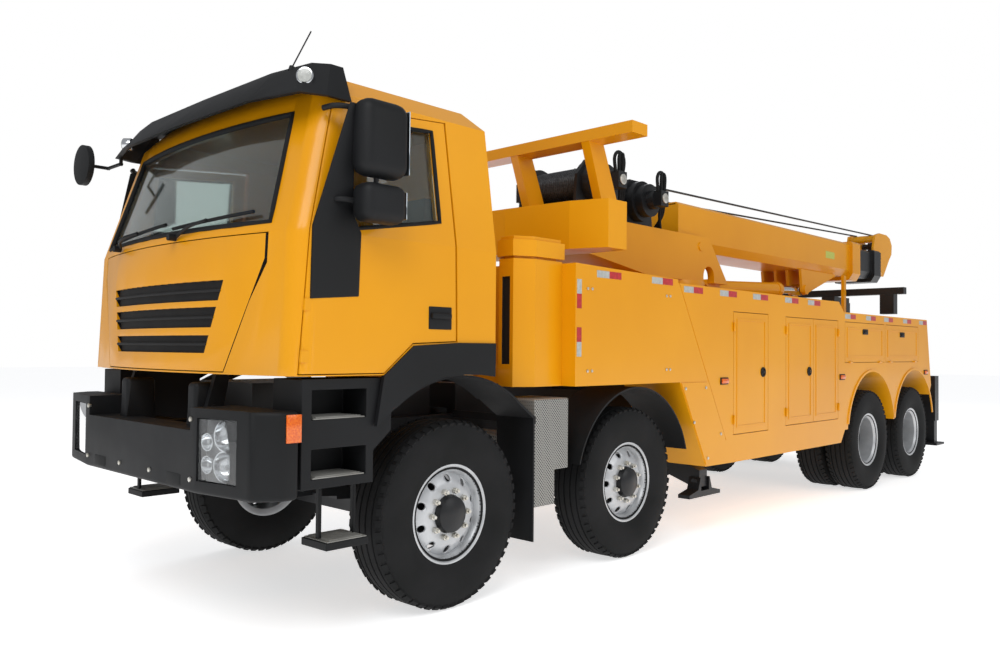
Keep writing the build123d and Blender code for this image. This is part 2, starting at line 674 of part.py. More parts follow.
for side_name, side in SIDES.items():
    near_side = span(side, DOOR_INNER_REACH, SIDE_REACH)
    with BuildPart() as door_skin:
        cab_form(0)
        cab_form(DOOR_SKIN, Mode.SUBTRACT, floor=-1)
        side_prism(door_points, near_side, Mode.INTERSECT)
    with BuildPart() as door_frame:
        cab_form(DOOR_SKIN, floor=-1)
        cab_form(CAB_WALL, Mode.SUBTRACT, floor=-2)
        side_prism(grown(door_points, -DOOR_STEP), near_side, Mode.INTERSECT)
    with BuildPart() as cab_door:
        add(door_skin.part)
        add(door_frame.part)
        side_prism(window_points, near_side, Mode.SUBTRACT)
        for z in DOOR_HINGE_Z:
            low, high = door_front(z - 30), door_front(z + 30)
            reach = DOOR_GAP - SEAT_GAP
            side_prism([(low - reach, z - 30), (low + 60, z - 30), (high + 60, z + 30),
                        (high - reach, z + 30)],
                       span(side, CAB_HALF_WIDTH - DOOR_SKIN + 2, CAB_HALF_WIDTH - 3))
    keep(f"cab_door_{side_name}", cab_door.part)
    with BuildPart() as door_glass:
        cab_form(28)
        cab_form(28 + GLASS_THICKNESS, Mode.SUBTRACT)
        side_prism(grown(window_points, -GLASS_GAP), near_side, Mode.INTERSECT)
    keep(f"door_glass_{side_name}", door_glass.part)


# Visor: a hollow shell lofted between two plan outlines, and the round mirror on its arm
VISOR_LOW = [(1200.0, -960.0), (1150.0, -1090.0), (800.0, -1180.0), (0.0, -1200.0)]
VISOR_HIGH = [(1120.0, -880.0), (1060.0, -960.0), (750.0, -1010.0), (0.0, -1020.0)]
VISOR_BOTTOM = 2850.0
VISOR_TOP = 3050.0
VISOR_REAR = FRONT_AXLE_Y - 800.0
VISOR_WALL = 25.0
ROUND_MIRROR_RADIUS = 140.0
ARM_RADIUS = 12.0


def visor_level(z, half_points, inset):
    """One level of the visor in plan, drawn in by an inset."""
    right = [(max(x - inset, 0), FRONT_AXLE_Y + y + inset) for x, y in half_points]
    outline = [(-x, y) for x, y in right] + right[-2::-1]
    end = right[0][0]
    with BuildSketch(Plane.XY.offset(z)) as level:
        with BuildLine():
            Polyline(*outline, (end, VISOR_REAR), (-end, VISOR_REAR), close=True)
        make_face()
    return level.sketch


with BuildPart() as sun_visor:
    loft([visor_level(VISOR_BOTTOM, VISOR_LOW, 0), visor_level(VISOR_TOP, VISOR_HIGH, 0)])
    loft([visor_level(VISOR_BOTTOM - 1, VISOR_LOW, VISOR_WALL),
          visor_level(VISOR_TOP - VISOR_WALL, VISOR_HIGH, VISOR_WALL)], mode=Mode.SUBTRACT)
    cab_form(-GLASS_GAP, Mode.SUBTRACT)
    arm_y = FRONT_AXLE_Y - 1060
    post(ARM_RADIUS, -1120, arm_y, (2800, 2885))
    cross_bar(ARM_RADIUS, arm_y, 2812, (-1350, -1110))
    long_bar(ARM_RADIUS, -1340, 2812, (FRONT_AXLE_Y - 1210, FRONT_AXLE_Y - 1050))
    long_bar(ROUND_MIRROR_RADIUS, -1355, 2810, (FRONT_AXLE_Y - 1240, FRONT_AXLE_Y - 1200))
keep("sun_visor", sun_visor.part)

# Cab furniture: dash, two seats, wheel on its column and the engine cover
SEAT_X = 560.0
with BuildPart() as cab_interior:
    floor_z = CAB_BOTTOM + CAB_WALL
    dash = [(-1150.0, 1900.0), (-850.0, 2080.0), (-760.0, 2020.0), (-800.0, 1700.0),
            (-1000.0, 1600.0), (-1150.0, 1600.0)]
    side_prism(behind_axle(dash), (-1050, 1050))
    block((-300, 300), (FRONT_AXLE_Y - 1000, FRONT_AXLE_Y + 150), (floor_z, 1600))
    for side in SIDES.values():
        seat = [(-420.0, 1760.0), (-420.0, 1880.0), (0.0, 1860.0), (70.0, 2500.0),
                (165.0, 2500.0), (120.0, 1760.0)]
        side_prism(behind_axle(seat), span(side, SEAT_X - 240, SEAT_X + 240))
        block(span(side, SEAT_X - 160, SEAT_X + 160),
              (FRONT_AXLE_Y - 350, FRONT_AXLE_Y + 60), (floor_z, 1760))
    column = Plane((SEAT_X, FRONT_AXLE_Y - 850, 1850), x_dir=(1, 0, 0), z_dir=(0, 0.45, 0.89))
    bar(column, 35, 330)
    rim_plane = column.offset(330)
    with BuildSketch(rim_plane) as wheel_disc:
        Circle(235)
        Circle(205, mode=Mode.SUBTRACT)
        Rectangle(420, 40)
        Circle(60)
    extrude(wheel_disc.sketch, amount=28)
    cab_form(CAB_WALL + GLASS_GAP, Mode.INTERSECT)
keep("cab_interior", cab_interior.part)

# Mirrors on the door fronts: two arms, a tall housing and a square one under it
for side_name, side in SIDES.items():
    with BuildPart() as mirror:
        x_low, x_high = span(side, 1300, 1440)
        y_low, y_high = FRONT_AXLE_Y - 880, FRONT_AXLE_Y - 575
        block((x_low, x_high), (y_low, y_high), (2425, 2830))
        block((x_low, x_high), (y_low, y_high), (2190, 2385))
        for z, foot_x in ((2300, 1231.5), (2780, 1168.4)):
            cross_bar(16, y_low + 30, z, span(side, foot_x, 1310))
        block(span(side, 1350, 1390), (y_low + 130, y_low + 170), (2380, 2430))
    keep(f"mirror_{side_name}", mirror.part)

# Bumper: a wide shell with rounded corners, lamp openings and a low step in the middle
def bumper_outline(inset):
    """Half widths and fronts of the bumper in plan, drawn in by an inset."""
    front, rear = BUMPER_FRONT + inset, BUMPER_REAR
    side = BODY_SIDE - inset
    return [(-side, rear), (-side, front + 190), (-side + 90, front + 70), (-720, front),
            (720, front), (side - 90, front + 70), (side, front + 190), (side, rear)]


with BuildPart() as bumper:
    plan_prism(bumper_outline(0), (BUMPER_BOTTOM, BUMPER_TOP))
    plan_prism(bumper_outline(BUMPER_WALL), (BUMPER_BOTTOM + 40, BUMPER_TOP - 40), Mode.SUBTRACT)
    block((-STEP_TREAD_HALF - 60, STEP_TREAD_HALF + 60), (BUMPER_FRONT - 1, BUMPER_REAR + 1),
          (STEP_TREAD_Z, BUMPER_TOP + 1), Mode.SUBTRACT)
    block((-STEP_TREAD_HALF - 60, STEP_TREAD_HALF + 60), (BUMPER_FRONT, BUMPER_FRONT + 200),
          (STEP_TREAD_Z - 40, STEP_TREAD_Z))
    for side in SIDES.values():
        block(span(side, LAMP_INNER, LAMP_OUTER), (BUMPER_FRONT - 1, BUMPER_FRONT + 150),
              (LAMP_BOTTOM, LAMP_TOP), Mode.SUBTRACT)
        block(span(side, STEP_TREAD_HALF + 60, STEP_TREAD_HALF + 120),
              (BUMPER_FRONT + 10, BUMPER_REAR), (STEP_TREAD_Z - 40, BUMPER_TOP))
        block(span(side, RAIL_X - 60, RAIL_X + 60), (BUMPER_FRONT + 60, FRAME_FRONT),
              (BUMPER_BOTTOM + 40, RAIL_TOP))
        block(span(side, RAIL_X - 40, RAIL_X + 60), (FRONT_AXLE_Y - 1290, FRONT_AXLE_Y - 1110),
              (RAIL_TOP, TILT_Z + 150))
        cross_bar(TILT_PIN_RADIUS, TILT_Y, TILT_Z, span(side, RAIL_X, TILT_LUG_X[1] + 10))
keep("bumper", bumper.part)

with BuildPart() as front_lamps:
    for side in SIDES.values():
        block(span(side, LAMP_INNER + GLASS_GAP, LAMP_OUTER - GLASS_GAP),
              (BUMPER_FRONT + 12, BUMPER_FRONT + 130),
              (LAMP_BOTTOM + GLASS_GAP, LAMP_TOP - GLASS_GAP))
keep("front_lamps", front_lamps.part)

# Cab steps: a housing with two treads cut in it and a hung lower step
STEP_INNER = 960.0
STEP_FRONT = FRONT_AXLE_Y - 1100.0
STEP_REAR = FRONT_AXLE_Y - 530.0
with BuildPart() as cab_steps:
    for side in SIDES.values():
        x_range = span(side, STEP_INNER, BODY_SIDE - 20)
        side_prism(
            [(STEP_FRONT, 830), (STEP_REAR - 120, 830), (STEP_REAR - 120, 1000),
             (STEP_REAR, 1100), (STEP_REAR, 1385), (STEP_FRONT, 1385)],
            x_range,
        )
        for z in (880, 1180):
            block(span(side, STEP_INNER + 60, BODY_SIDE + 1),
                  (STEP_FRONT + 60, STEP_REAR - 170), (z, z + 150), Mode.SUBTRACT)
        for y in (STEP_FRONT + 190, STEP_REAR - 160):
            block(span(side, BODY_SIDE - 170, BODY_SIDE - 140), (y, y + 20), (540, 830))
        block(span(side, BODY_SIDE - 270, BODY_SIDE - 40),
              (STEP_FRONT + 170, STEP_REAR - 130), (500, 540))
        block(span(side, RAIL_X, STEP_INNER), (STEP_FRONT + 60, STEP_FRONT + 160),
              (RAIL_TOP - 150, RAIL_TOP))
keep("cab_steps", cab_steps.part)

# Mudguards: rings over the second axle, flaps behind the first and trims on the arches
GUARD_THICKNESS = 12.0
MUDFLAP_OFFSET = 662.0


def arch_ring(side, y, z, radius, x_range, low, wall=GUARD_THICKNESS):
    """A half ring over a wheel, cut off level at a height: a mudguard or an arch's lip."""
    x_low, x_high = span(side, *x_range)
    with BuildSketch(Plane.YZ.offset(x_low)) as ring:
        with Locations((y, z)):
            Circle(radius)
            Circle(radius - wall, mode=Mode.SUBTRACT)
            with Locations((0, low - z - radius)):
                Rectangle(3 * radius, 2 * radius, mode=Mode.SUBTRACT)
    extrude(ring.sketch, amount=x_high - x_low)


with BuildPart() as mudguards:
    for side in SIDES.values():
        arch_ring(side, AXLE_Y[1], HUB_Z, 715, (860, 1235), 760)
        block(span(side, RAIL_X, 860 + 20), (AXLE_Y[1] - 30, AXLE_Y[1] + 30),
              (HUB_Z + 715 - GUARD_THICKNESS - 30, HUB_Z + 715 - GUARD_THICKNESS))
        arch_ring(side, AXLE_Y[0], HUB_Z, 830, (860, 1225), 1215)
        side_prism(behind_axle([(490, 1216), (510, 1222), (674, 1112), (662, 1099)]),
                   span(side, 880, 1210))
        flap_y = FRONT_AXLE_Y + MUDFLAP_OFFSET
        block(span(side, 880, 1210), (flap_y, flap_y + GUARD_THICKNESS), (300, 1110))
        block(span(side, RAIL_X, 1210), (flap_y + GUARD_THICKNESS, flap_y + 24), (1060, 1110))
keep("mudguards", mudguards.part)

SILENCER = ((860.0, 1200.0), (FRONT_AXLE_Y + 688, FRONT_AXLE_Y + 1035), (515.0, 1220.0))
with BuildPart() as silencer:
    block(*SILENCER)
    block((SILENCER[0][0], SILENCER[0][1] + 1),
          (SILENCER[1][1] - 140, SILENCER[1][1] + 1), (514, 744), Mode.SUBTRACT)
    block((RAIL_X, SILENCER[0][0]), (SILENCER[1][0] + 60, SILENCER[1][0] + 140), (900, 960))
    block((RAIL_X, SILENCER[0][0]), (SILENCER[1][0] + 220, SILENCER[1][0] + 300), (900, 960))
keep("silencer", silencer.part)

with BuildPart() as fuel_tank:
    block((-1200, -860), SILENCER[1], (560, 1180))
    for low in (60, 220):
        block((-860, -RAIL_X), (SILENCER[1][0] + low, SILENCER[1][0] + low + 80), (900, 960))
keep("fuel_tank", fuel_tank.part)

# Recovery body. Lockers: front, rear, bottom, top, the edge that carries the hinge
LOCKERS = {
    "front": (3220.0, 3860.0, 830.0, 1885.0, "front"),
    "middle_1": (4230.0, 4838.0, 850.0, 1875.0, "front"),
    "middle_2": (4844.0, 5450.0, 850.0, 1875.0, "rear"),
    "upper_1": (5640.0, 6780.0, 1440.0, 1870.0, "bottom"),
    "upper_2": (6840.0, 7960.0, 1440.0, 1870.0, "bottom"),
}
PAIR = (LOCKERS["middle_1"][0], LOCKERS["middle_2"][1], *LOCKERS["middle_1"][2:4])
CAVITIES = [LOCKERS["front"][:4], PAIR, LOCKERS["upper_1"][:4], LOCKERS["upper_2"][:4]]
CAVITY_REVEAL = 25.0
LIP_WIDTH = 25.0
LIP_PROUD = 12.0
BEAD_INSET = 55.0
BEAD_WIDTH_Y = 16.0
BEAD_PROUD = 5.0
KNUCKLE_RADIUS = 10.0
KNUCKLE_PROUD = 9.0


def bead_frame(side, y_range, z_range):
    """The raised frame pressed in a locker's door, set in from the door's edges."""
    x_low, x_high = span(side, BODY_SIDE - 1, BODY_SIDE + BEAD_PROUD)
    middle = (sum(y_range) / 2, sum(z_range) / 2)
    width = y_range[1] - y_range[0] - 2 * BEAD_INSET
    height = z_range[1] - z_range[0] - 2 * BEAD_INSET
    with BuildSketch(Plane.YZ.offset(x_low)) as frame:
        with Locations(middle):
            Rectangle(width, height)
            Rectangle(width - 2 * BEAD_WIDTH_Y, height - 2 * BEAD_WIDTH_Y, mode=Mode.SUBTRACT)
    extrude(frame.sketch, amount=x_high - x_low)


for side_name, side in SIDES.items():
    with BuildPart() as body:
        side_prism(
            behind_axle([
                (1040, PANEL_BOTTOM), (1040, PANEL_TOP + 20), (2330, PANEL_TOP - 10),
                (2330, BODY_TOP), (5480, BODY_TOP), (5610, REAR_BODY_TOP),
                (8300, REAR_BODY_TOP), (8460, 1130), (8340, 940), (8250, 720), (5635, 720),
                (5530, BODY_BOTTOM), (3210, BODY_BOTTOM), (2757, 596), (2360, PANEL_BOTTOM)]),
            span(side, BODY_INNER, BODY_SIDE),
        )
        block(span(side, BODY_INNER - 1, BODY_SIDE - 40),
              (BODY_FRONT + 40, LOWER_BODY_FRONT - 40), (PANEL_BOTTOM - 1, PANEL_TOP - 60),
              Mode.SUBTRACT)
        for axle in (2, 3):
            arch_ring(side, AXLE_Y[axle], ARCH_Z, ARCH_RADIUS + LIP_WIDTH,
                      (BODY_SIDE - 1, BODY_SIDE + LIP_PROUD), 775, LIP_WIDTH + 5)
        for axle in (2, 3):
            cross_bar(ARCH_RADIUS, AXLE_Y[axle], ARCH_Z,
                      span(side, BODY_INNER - 1, BODY_SIDE + LIP_PROUD + 1), Mode.SUBTRACT)
        block(span(side, BODY_INNER - 1, BODY_SIDE + 1), (AXLE_Y[2], AXLE_Y[3]),
              (BODY_BOTTOM, 760), Mode.SUBTRACT)
        side_prism(behind_axle([(2328, 2112), (2336, 2112), (3096, 790), (3088, 790)]),
                   span(side, BODY_SIDE - 6, BODY_SIDE + 1), Mode.SUBTRACT)
        side_prism(behind_axle([(2375, 1290), (2790, 1290), (3066, 812), (2758, 612)]),
                   span(side, BODY_SIDE - 1, BODY_SIDE + 8))
        front_prism([(side * x, z) for x, z in (
            (BODY_INNER - 1, 500), (1010, 500), (1010, 592), (BODY_INNER - 1, 690))],
            (OUTRIGGER_Y - 150, OUTRIGGER_Y + 150), Mode.SUBTRACT)
        for y_low, y_high, z_low, z_high in CAVITIES:
            block(
                span(side, BODY_SIDE - LOCKER_DEPTH, BODY_SIDE - LOCKER_DOOR),
                (FRONT_AXLE_Y + y_low + CAVITY_REVEAL, FRONT_AXLE_Y + y_high - CAVITY_REVEAL),
                (z_low + CAVITY_REVEAL, z_high - CAVITY_REVEAL), Mode.SUBTRACT,
            )
            block(
                span(side, BODY_SIDE - LOCKER_DOOR - 1, BODY_SIDE + 1),
                (FRONT_AXLE_Y + y_low - LOCKER_GAP, FRONT_AXLE_Y + y_high + LOCKER_GAP),
                (z_low - LOCKER_GAP, z_high + LOCKER_GAP), Mode.SUBTRACT,
            )
    keep(f"body_{side_name}", body.part)
    for name, (y_low, y_high, z_low, z_high, hinge) in LOCKERS.items():
        with BuildPart() as locker_door:
            block(span(side, BODY_SIDE - LOCKER_DOOR + 2, BODY_SIDE),
                  (FRONT_AXLE_Y + y_low, FRONT_AXLE_Y + y_high), (z_low, z_high))
            bead_frame(side, (FRONT_AXLE_Y + y_low, FRONT_AXLE_Y + y_high), (z_low, z_high))
            tongue = LOCKER_GAP - SEAT_GAP
            for share in (0.12, 0.88):
                y = FRONT_AXLE_Y + y_low + share * (y_high - y_low)
                z = z_low + share * (z_high - z_low)
                y_range, z_range = {
                    "front": ((FRONT_AXLE_Y + y_low - tongue, FRONT_AXLE_Y + y_low + 20),
                              (z - 25, z + 25)),
                    "rear": ((FRONT_AXLE_Y + y_high - 20, FRONT_AXLE_Y + y_high + tongue),
                             (z - 25, z + 25)),
                    "bottom": ((y - 25, y + 25), (z_low - tongue, z_low + 20)),
                }[hinge]
                block(span(side, BODY_SIDE - 22, BODY_SIDE - 2), y_range, z_range)
                x = side * (BODY_SIDE + KNUCKLE_PROUD)
                if hinge == "bottom":
                    long_bar(KNUCKLE_RADIUS, x, z_low, (y - 40, y + 40))
                else:
                    edge = FRONT_AXLE_Y + (y_low if hinge == "front" else y_high)
                    post(KNUCKLE_RADIUS, x, edge, (z - 40, z + 40))
        keep(f"locker_{name}_{side_name}", locker_door.part)

# Deck between the side bodies, the front towers and the boom's rest
DECK_TOP = BODY_TOP
TOWER_TOP = 2150.0
CAP_TOP = 2300.0
with BuildPart() as deck:
    block((-BODY_INNER, BODY_INNER), (LOWER_BODY_FRONT, BODY_STEP),
          (DECK_TOP - DECK_THICKNESS, DECK_TOP))
    block((-BODY_INNER, BODY_INNER), (BODY_STEP + 150, BODY_REAR - 250),
          (REAR_BODY_TOP - DECK_THICKNESS, REAR_BODY_TOP))
    for side in SIDES.values():
        tower = [(side * x, FRONT_AXLE_Y + y) for x, y in (
            (700, 950), (930, 620), (1060, 620), (1130, 760), (1130, 1040), (700, 1040))]
        plan_prism(tower, (PANEL_BOTTOM, TOWER_TOP))
        plan_prism(grown(tower, -30), (TOWER_TOP, TOWER_TOP + 15))
        plan_prism(grown(tower, 12), (TOWER_TOP + 15, CAP_TOP - 25))
        plan_prism(grown(tower, -8), (CAP_TOP - 25, CAP_TOP))
        block(span(side, 960, 1030), (FRONT_AXLE_Y + 619, FRONT_AXLE_Y + 634),
              (PANEL_BOTTOM + 150, TOWER_TOP - 120), Mode.SUBTRACT)
        block(span(side, RAIL_X, 700), (FRONT_AXLE_Y + 960, BODY_FRONT),
              (PANEL_BOTTOM, 2150))
        block(span(side, RAIL_X - 90, RAIL_X), (FRONT_AXLE_Y + 960, BODY_FRONT),
              (SUBFRAME_TOP, 2150))
        block(span(side, 315, 355), (FRONT_AXLE_Y + 7860, FRONT_AXLE_Y + 7930),
              (REAR_BODY_TOP, BOOM_BOTTOM - 8))
    post(RING_RADIUS, 0, SLEW_Y, (DECK_TOP, RING_Z))
keep("deck", deck.part)

# Turret: two cheeks on a round table, a floor, a winch deck and arms to the weight
CYLINDER_LUG = behind_axle([
    (4280, TURRET_FLOOR), (4490, 2160), (4600, 2160), (4600, 2300), (4490, 2304), (4280, 2285)])
BARREL_PIN_RADIUS = 35.0
EYE_WIDTH = 110.0
with BuildPart() as turret:
    cheek = behind_axle([
        (1700, 2380), (1700, WEIGHT_TOP), (1900, TURRET_TOP), (4240, TURRET_TOP),
        (4630, TURRET_FLOOR), (3160, TURRET_FLOOR), (2270, 2370)])
    for side in SIDES.values():
        side_prism(cheek, span(side, CHEEK_INNER, CHEEK_OUTER))
        cross_bar(105, FRONT_AXLE_Y + 4240, TURRET_FLOOR + 60,
                  span(side, CHEEK_INNER - 1, CHEEK_OUTER + 1), Mode.SUBTRACT)
        block(span(side, CHEEK_INNER - 1, CHEEK_OUTER + 1),
              (FRONT_AXLE_Y + 4135, FRONT_AXLE_Y + 4345), (TURRET_FLOOR - 1, TURRET_FLOOR + 60),
              Mode.SUBTRACT)
        side_prism(CYLINDER_LUG, span(side, CYLINDER_X + 95, CHEEK_INNER))
    block((-CHEEK_INNER, CHEEK_INNER), (FRONT_AXLE_Y + 3160, FRONT_AXLE_Y + 4300),
          (TURRET_FLOOR, TURRET_FLOOR + 40))
    block((-CHEEK_INNER, CHEEK_INNER), (FRONT_AXLE_Y + 1900, FRONT_AXLE_Y + 3500),
          (TURRET_TOP - 40, TURRET_TOP))
    side_prism(behind_axle([(3160, TURRET_FLOOR), (2270, 2370), (2270, 2410), (3170, 2285)]),
               (-CHEEK_INNER, CHEEK_INNER))
    post(RING_RADIUS, 0, SLEW_Y, (RING_Z + RING_GAP, TURRET_FLOOR))
    side_prism(CYLINDER_LUG, (-60, 60))
    cross_bar(BARREL_PIN_RADIUS, BARREL_PIN_Y, BARREL_PIN_Z, (-CHEEK_INNER, CHEEK_INNER))
    cross_bar(LUFF_PIN_RADIUS + PIN_CLEARANCE, LUFF_Y, LUFF_Z,
              (-CHEEK_OUTER - 1, CHEEK_OUTER + 1), Mode.SUBTRACT)
keep("turret", turret.part)

# Counterweight with its bevelled front, and the rack that leans over it on three posts
RACK_BEAM = behind_axle([(1750, 3180), (1950, 3180), (1950, 3270), (1750, 3270)])
RACK_POST = behind_axle([(1935, 2700), (2150, 2700), (1945, 3180), (1755, 3180)])
with BuildPart() as counterweight:
    plan_prism(
        [(x, FRONT_AXLE_Y + y) for x, y in (
            (-300, 1337), (300, 1337), (910, 1382), (1200, 1474), (1200, 1700), (-1200, 1700),
            (-1200, 1474), (-910, 1382))],
        (WEIGHT_BOTTOM, WEIGHT_TOP),
    )
    side_prism(RACK_BEAM, (-1210, 1210))
    for x in (-760, 0, 760):
        side_prism(RACK_POST, (x - 40, x + 40))
    block((-800, 800), (FRONT_AXLE_Y + 1935, FRONT_AXLE_Y + 2090), (TURRET_TOP, TURRET_TOP + 60))
keep("counterweight", counterweight.part)

# Winches: a drum between two frames, a stepped gear case and a hydraulic motor on each
WINCHES = ((2430.0, 3000.0), (3080.0, 2925.0))
with BuildPart() as winches:
    for offset, z in WINCHES:
        y = FRONT_AXLE_Y + offset
        for x in (-330, 300):
            side_prism([(y - 260, TURRET_TOP), (y + 260, TURRET_TOP), (y + 230, z + 60),
                        (y + 110, z + 200), (y - 110, z + 200), (y - 230, z + 60)], (x, x + 30))
        cross_bar(120, y, z, (-300, 300))
        for x in (-300, 275):
            cross_bar(205, y, z, (x, x + 25))
        cross_bar(185, y, z, (330, 410))
        cross_bar(150, y, z, (410, 490))
        cross_bar(85, y, z, (490, 560))
        block((560, 640), (y - 60, y + 60), (z - 70, z + 70))
        cross_bar(110, y, z, (-420, -330))
        block((-520, -420), (y - 80, y + 80), (z - 80, z + 90))
        block((-330, 330), (y - 260, y + 260), (TURRET_TOP, TURRET_TOP + 20))
keep("winches", winches.part)


def boom_section(half, bottom, top, bevel):
    """The boom's six-sided section, with bevels along its lower corners."""
    return [(-half, bottom + bevel), (bevel * 0.6 - half, bottom), (half - bevel * 0.6, bottom),
            (half, bottom + bevel), (half, top - 25), (half - 25, top), (25 - half, top),
            (-half, top - 25)]


def boom_tube(inset, y_range):
    """A hollow boom section, its outside drawn in from the outer section by an inset."""
    outer = boom_section(BOOM_HALF - inset, BOOM_BOTTOM + inset, BOOM_TOP - inset, BOOM_BEVEL)
    front_prism(outer, y_range)
    inner = boom_section(BOOM_HALF - inset - BOOM_WALL, BOOM_BOTTOM + inset + BOOM_WALL,
                         BOOM_TOP - inset - BOOM_WALL, BOOM_BEVEL)
    front_prism(inner, (y_range[0] - 1, y_range[1] + 1), Mode.SUBTRACT)


def boom_collar(inset, y_range):
    """A thick ring round the open end of a boom section."""
    front_prism(boom_section(BOOM_HALF - inset + COLLAR_PROUD, BOOM_BOTTOM - COLLAR_PROUD + inset,
                             BOOM_TOP - inset + COLLAR_PROUD / 2, BOOM_BEVEL), y_range)
    front_prism(boom_section(BOOM_HALF - inset - BOOM_WALL, BOOM_BOTTOM + inset + BOOM_WALL,
                             BOOM_TOP - inset - BOOM_WALL, BOOM_BEVEL),
                (y_range[0] - 1, y_range[1] + 1), Mode.SUBTRACT)


def wear_pads(inset, y_start):
    """Pads at a section's inner end that fill the gap to the section round it."""
    thick = SLIDE_GAP - SEAT_GAP
    block((-150, 150), (y_start, y_start + 160),
          (BOOM_TOP - inset - 2, BOOM_TOP - inset + thick))
    block((-150, 150), (y_start, y_start + 160),
          (BOOM_BOTTOM + inset - thick, BOOM_BOTTOM + inset + 2))


STEP_IN = BOOM_WALL + SLIDE_GAP
EYE_X = (CYLINDER_X - EYE_WIDTH / 2, CYLINDER_X + EYE_WIDTH / 2)
LUG_OUTLINE = behind_axle([(6735, BOOM_BOTTOM), (7800, BOOM_BOTTOM), (7780, 2560),
                           (6930, 2290), (6850, 2262), (6780, 2300)])
with BuildPart() as boom_outer:
    boom_tube(0, (BOOM_ROOT, OUTER_END))
    boom_collar(0, (OUTER_END - COLLAR_LENGTH, OUTER_END))
    block((-BOOM_HALF + 5, BOOM_HALF - 5), (BOOM_ROOT, BOOM_ROOT + 14),
          (BOOM_BOTTOM + BOOM_BEVEL, BOOM_TOP - 25))
    cross_bar(85, LUFF_Y, LUFF_Z, (5 - CHEEK_INNER, CHEEK_INNER - 5))
    cross_bar(LUFF_PIN_RADIUS, LUFF_Y, LUFF_Z, (-CHEEK_OUTER - 12, CHEEK_OUTER + 12))
    for side in SIDES.values():
        for low in (CYLINDER_X - EYE_WIDTH / 2 - 50, CYLINDER_X + EYE_WIDTH / 2 + 15):
            side_prism(LUG_OUTLINE, span(side, low, low + 35))
        cross_bar(62, LUG_Y, LUG_Z, span(side, EYE_X[1] + 50, EYE_X[1] + 75))
keep("boom_outer", boom_outer.part)

with BuildPart() as boom_middle:
    boom_tube(STEP_IN, (MIDDLE_START, MIDDLE_END))
    boom_collar(STEP_IN, (MIDDLE_END - COLLAR_LENGTH + 20, MIDDLE_END))
    wear_pads(STEP_IN, MIDDLE_START)
keep("boom_middle", boom_middle.part)

# Boom head: the inner tube, two sheave plates, the sheaves and the hanging hook
HEAD_PLATE = behind_axle([
    (9330, 2690), (9330, 3100), (9400, 3290), (9560, 3330), (9850, 3330), (9990, 3290),
    (10075, 3190), (10060, 3050), (9960, 2960), (9720, 2690)])
HEAD_PLATE_X = (175.0, 205.0)
with BuildPart() as boom_head:
    boom_tube(2 * STEP_IN, (HEAD_START, FRONT_AXLE_Y + 9600))
    wear_pads(2 * STEP_IN, HEAD_START)
    for side in SIDES.values():
        side_prism(HEAD_PLATE, span(side, *HEAD_PLATE_X))
    for offset, z, radius in ((9930, 3180, 125), (9930, 3180, 45), (9470, 3240, 55)):
        width = HEAD_PLATE_X[0] if radius < 100 else 60
        cross_bar(radius, FRONT_AXLE_Y + offset, z, (-width, width))
    post(9, 0, FRONT_AXLE_Y + 10020, (3060, 3160))
    cross_bar(55, FRONT_AXLE_Y + 10020, 3030, (-30, 30))
    side_prism(behind_axle([(9990, 2985), (10050, 2985), (10060, 2870), (10030, 2800),
                            (9985, 2790), (9950, 2830), (9965, 2850), (10000, 2840),
                            (10015, 2870)]), (-22, 22))
keep("boom_head", boom_head.part)

# Lift cylinders, drawn in at rest, with an eye at each end
cylinder_run = hypot(LUG_Y - BARREL_PIN_Y, LUG_Z - BARREL_PIN_Z)
cylinder_way = (0, (LUG_Y - BARREL_PIN_Y) / cylinder_run, (LUG_Z - BARREL_PIN_Z) / cylinder_run)


def cylinder_plane(side, distance):
    """A plane square to a lift cylinder at a distance along it from its lower pin."""
    start = (side * CYLINDER_X, BARREL_PIN_Y + distance * cylinder_way[1],
             BARREL_PIN_Z + distance * cylinder_way[2])
    return Plane(start, x_dir=(1, 0, 0), z_dir=cylinder_way)


with BuildPart() as lift_barrels:
    for side in SIDES.values():
        bar(cylinder_plane(side, 50), BARREL_RADIUS - 12, 80)
        bar(cylinder_plane(side, 110), BARREL_RADIUS, BARREL_LENGTH - 110)
        bar(cylinder_plane(side, BARREL_LENGTH - 90), BARREL_RADIUS + 10, 90)
        cross_bar(75, BARREL_PIN_Y, BARREL_PIN_Z, span(side, *EYE_X))
        cross_bar(BARREL_PIN_RADIUS + PIN_CLEARANCE, BARREL_PIN_Y, BARREL_PIN_Z,
                  span(side, EYE_X[0] - 1, EYE_X[1] + 1), Mode.SUBTRACT)
        bar(cylinder_plane(side, 150), BARREL_BORE, BARREL_LENGTH - 230, Mode.SUBTRACT)
        bar(cylinder_plane(side, BARREL_LENGTH - 100), ROD_RADIUS + PIN_CLEARANCE, 101,
            Mode.SUBTRACT)
keep("lift_barrels", lift_barrels.part)

with BuildPart() as lift_rods:
    for side in SIDES.values():
        bar(cylinder_plane(side, 900), BARREL_BORE - PIN_CLEARANCE, 60)
        bar(cylinder_plane(side, 950), ROD_RADIUS, cylinder_run - 950)
        cross_bar(72, LUG_Y, LUG_Z, span(side, *EYE_X))
keep("lift_rods", lift_rods.part)

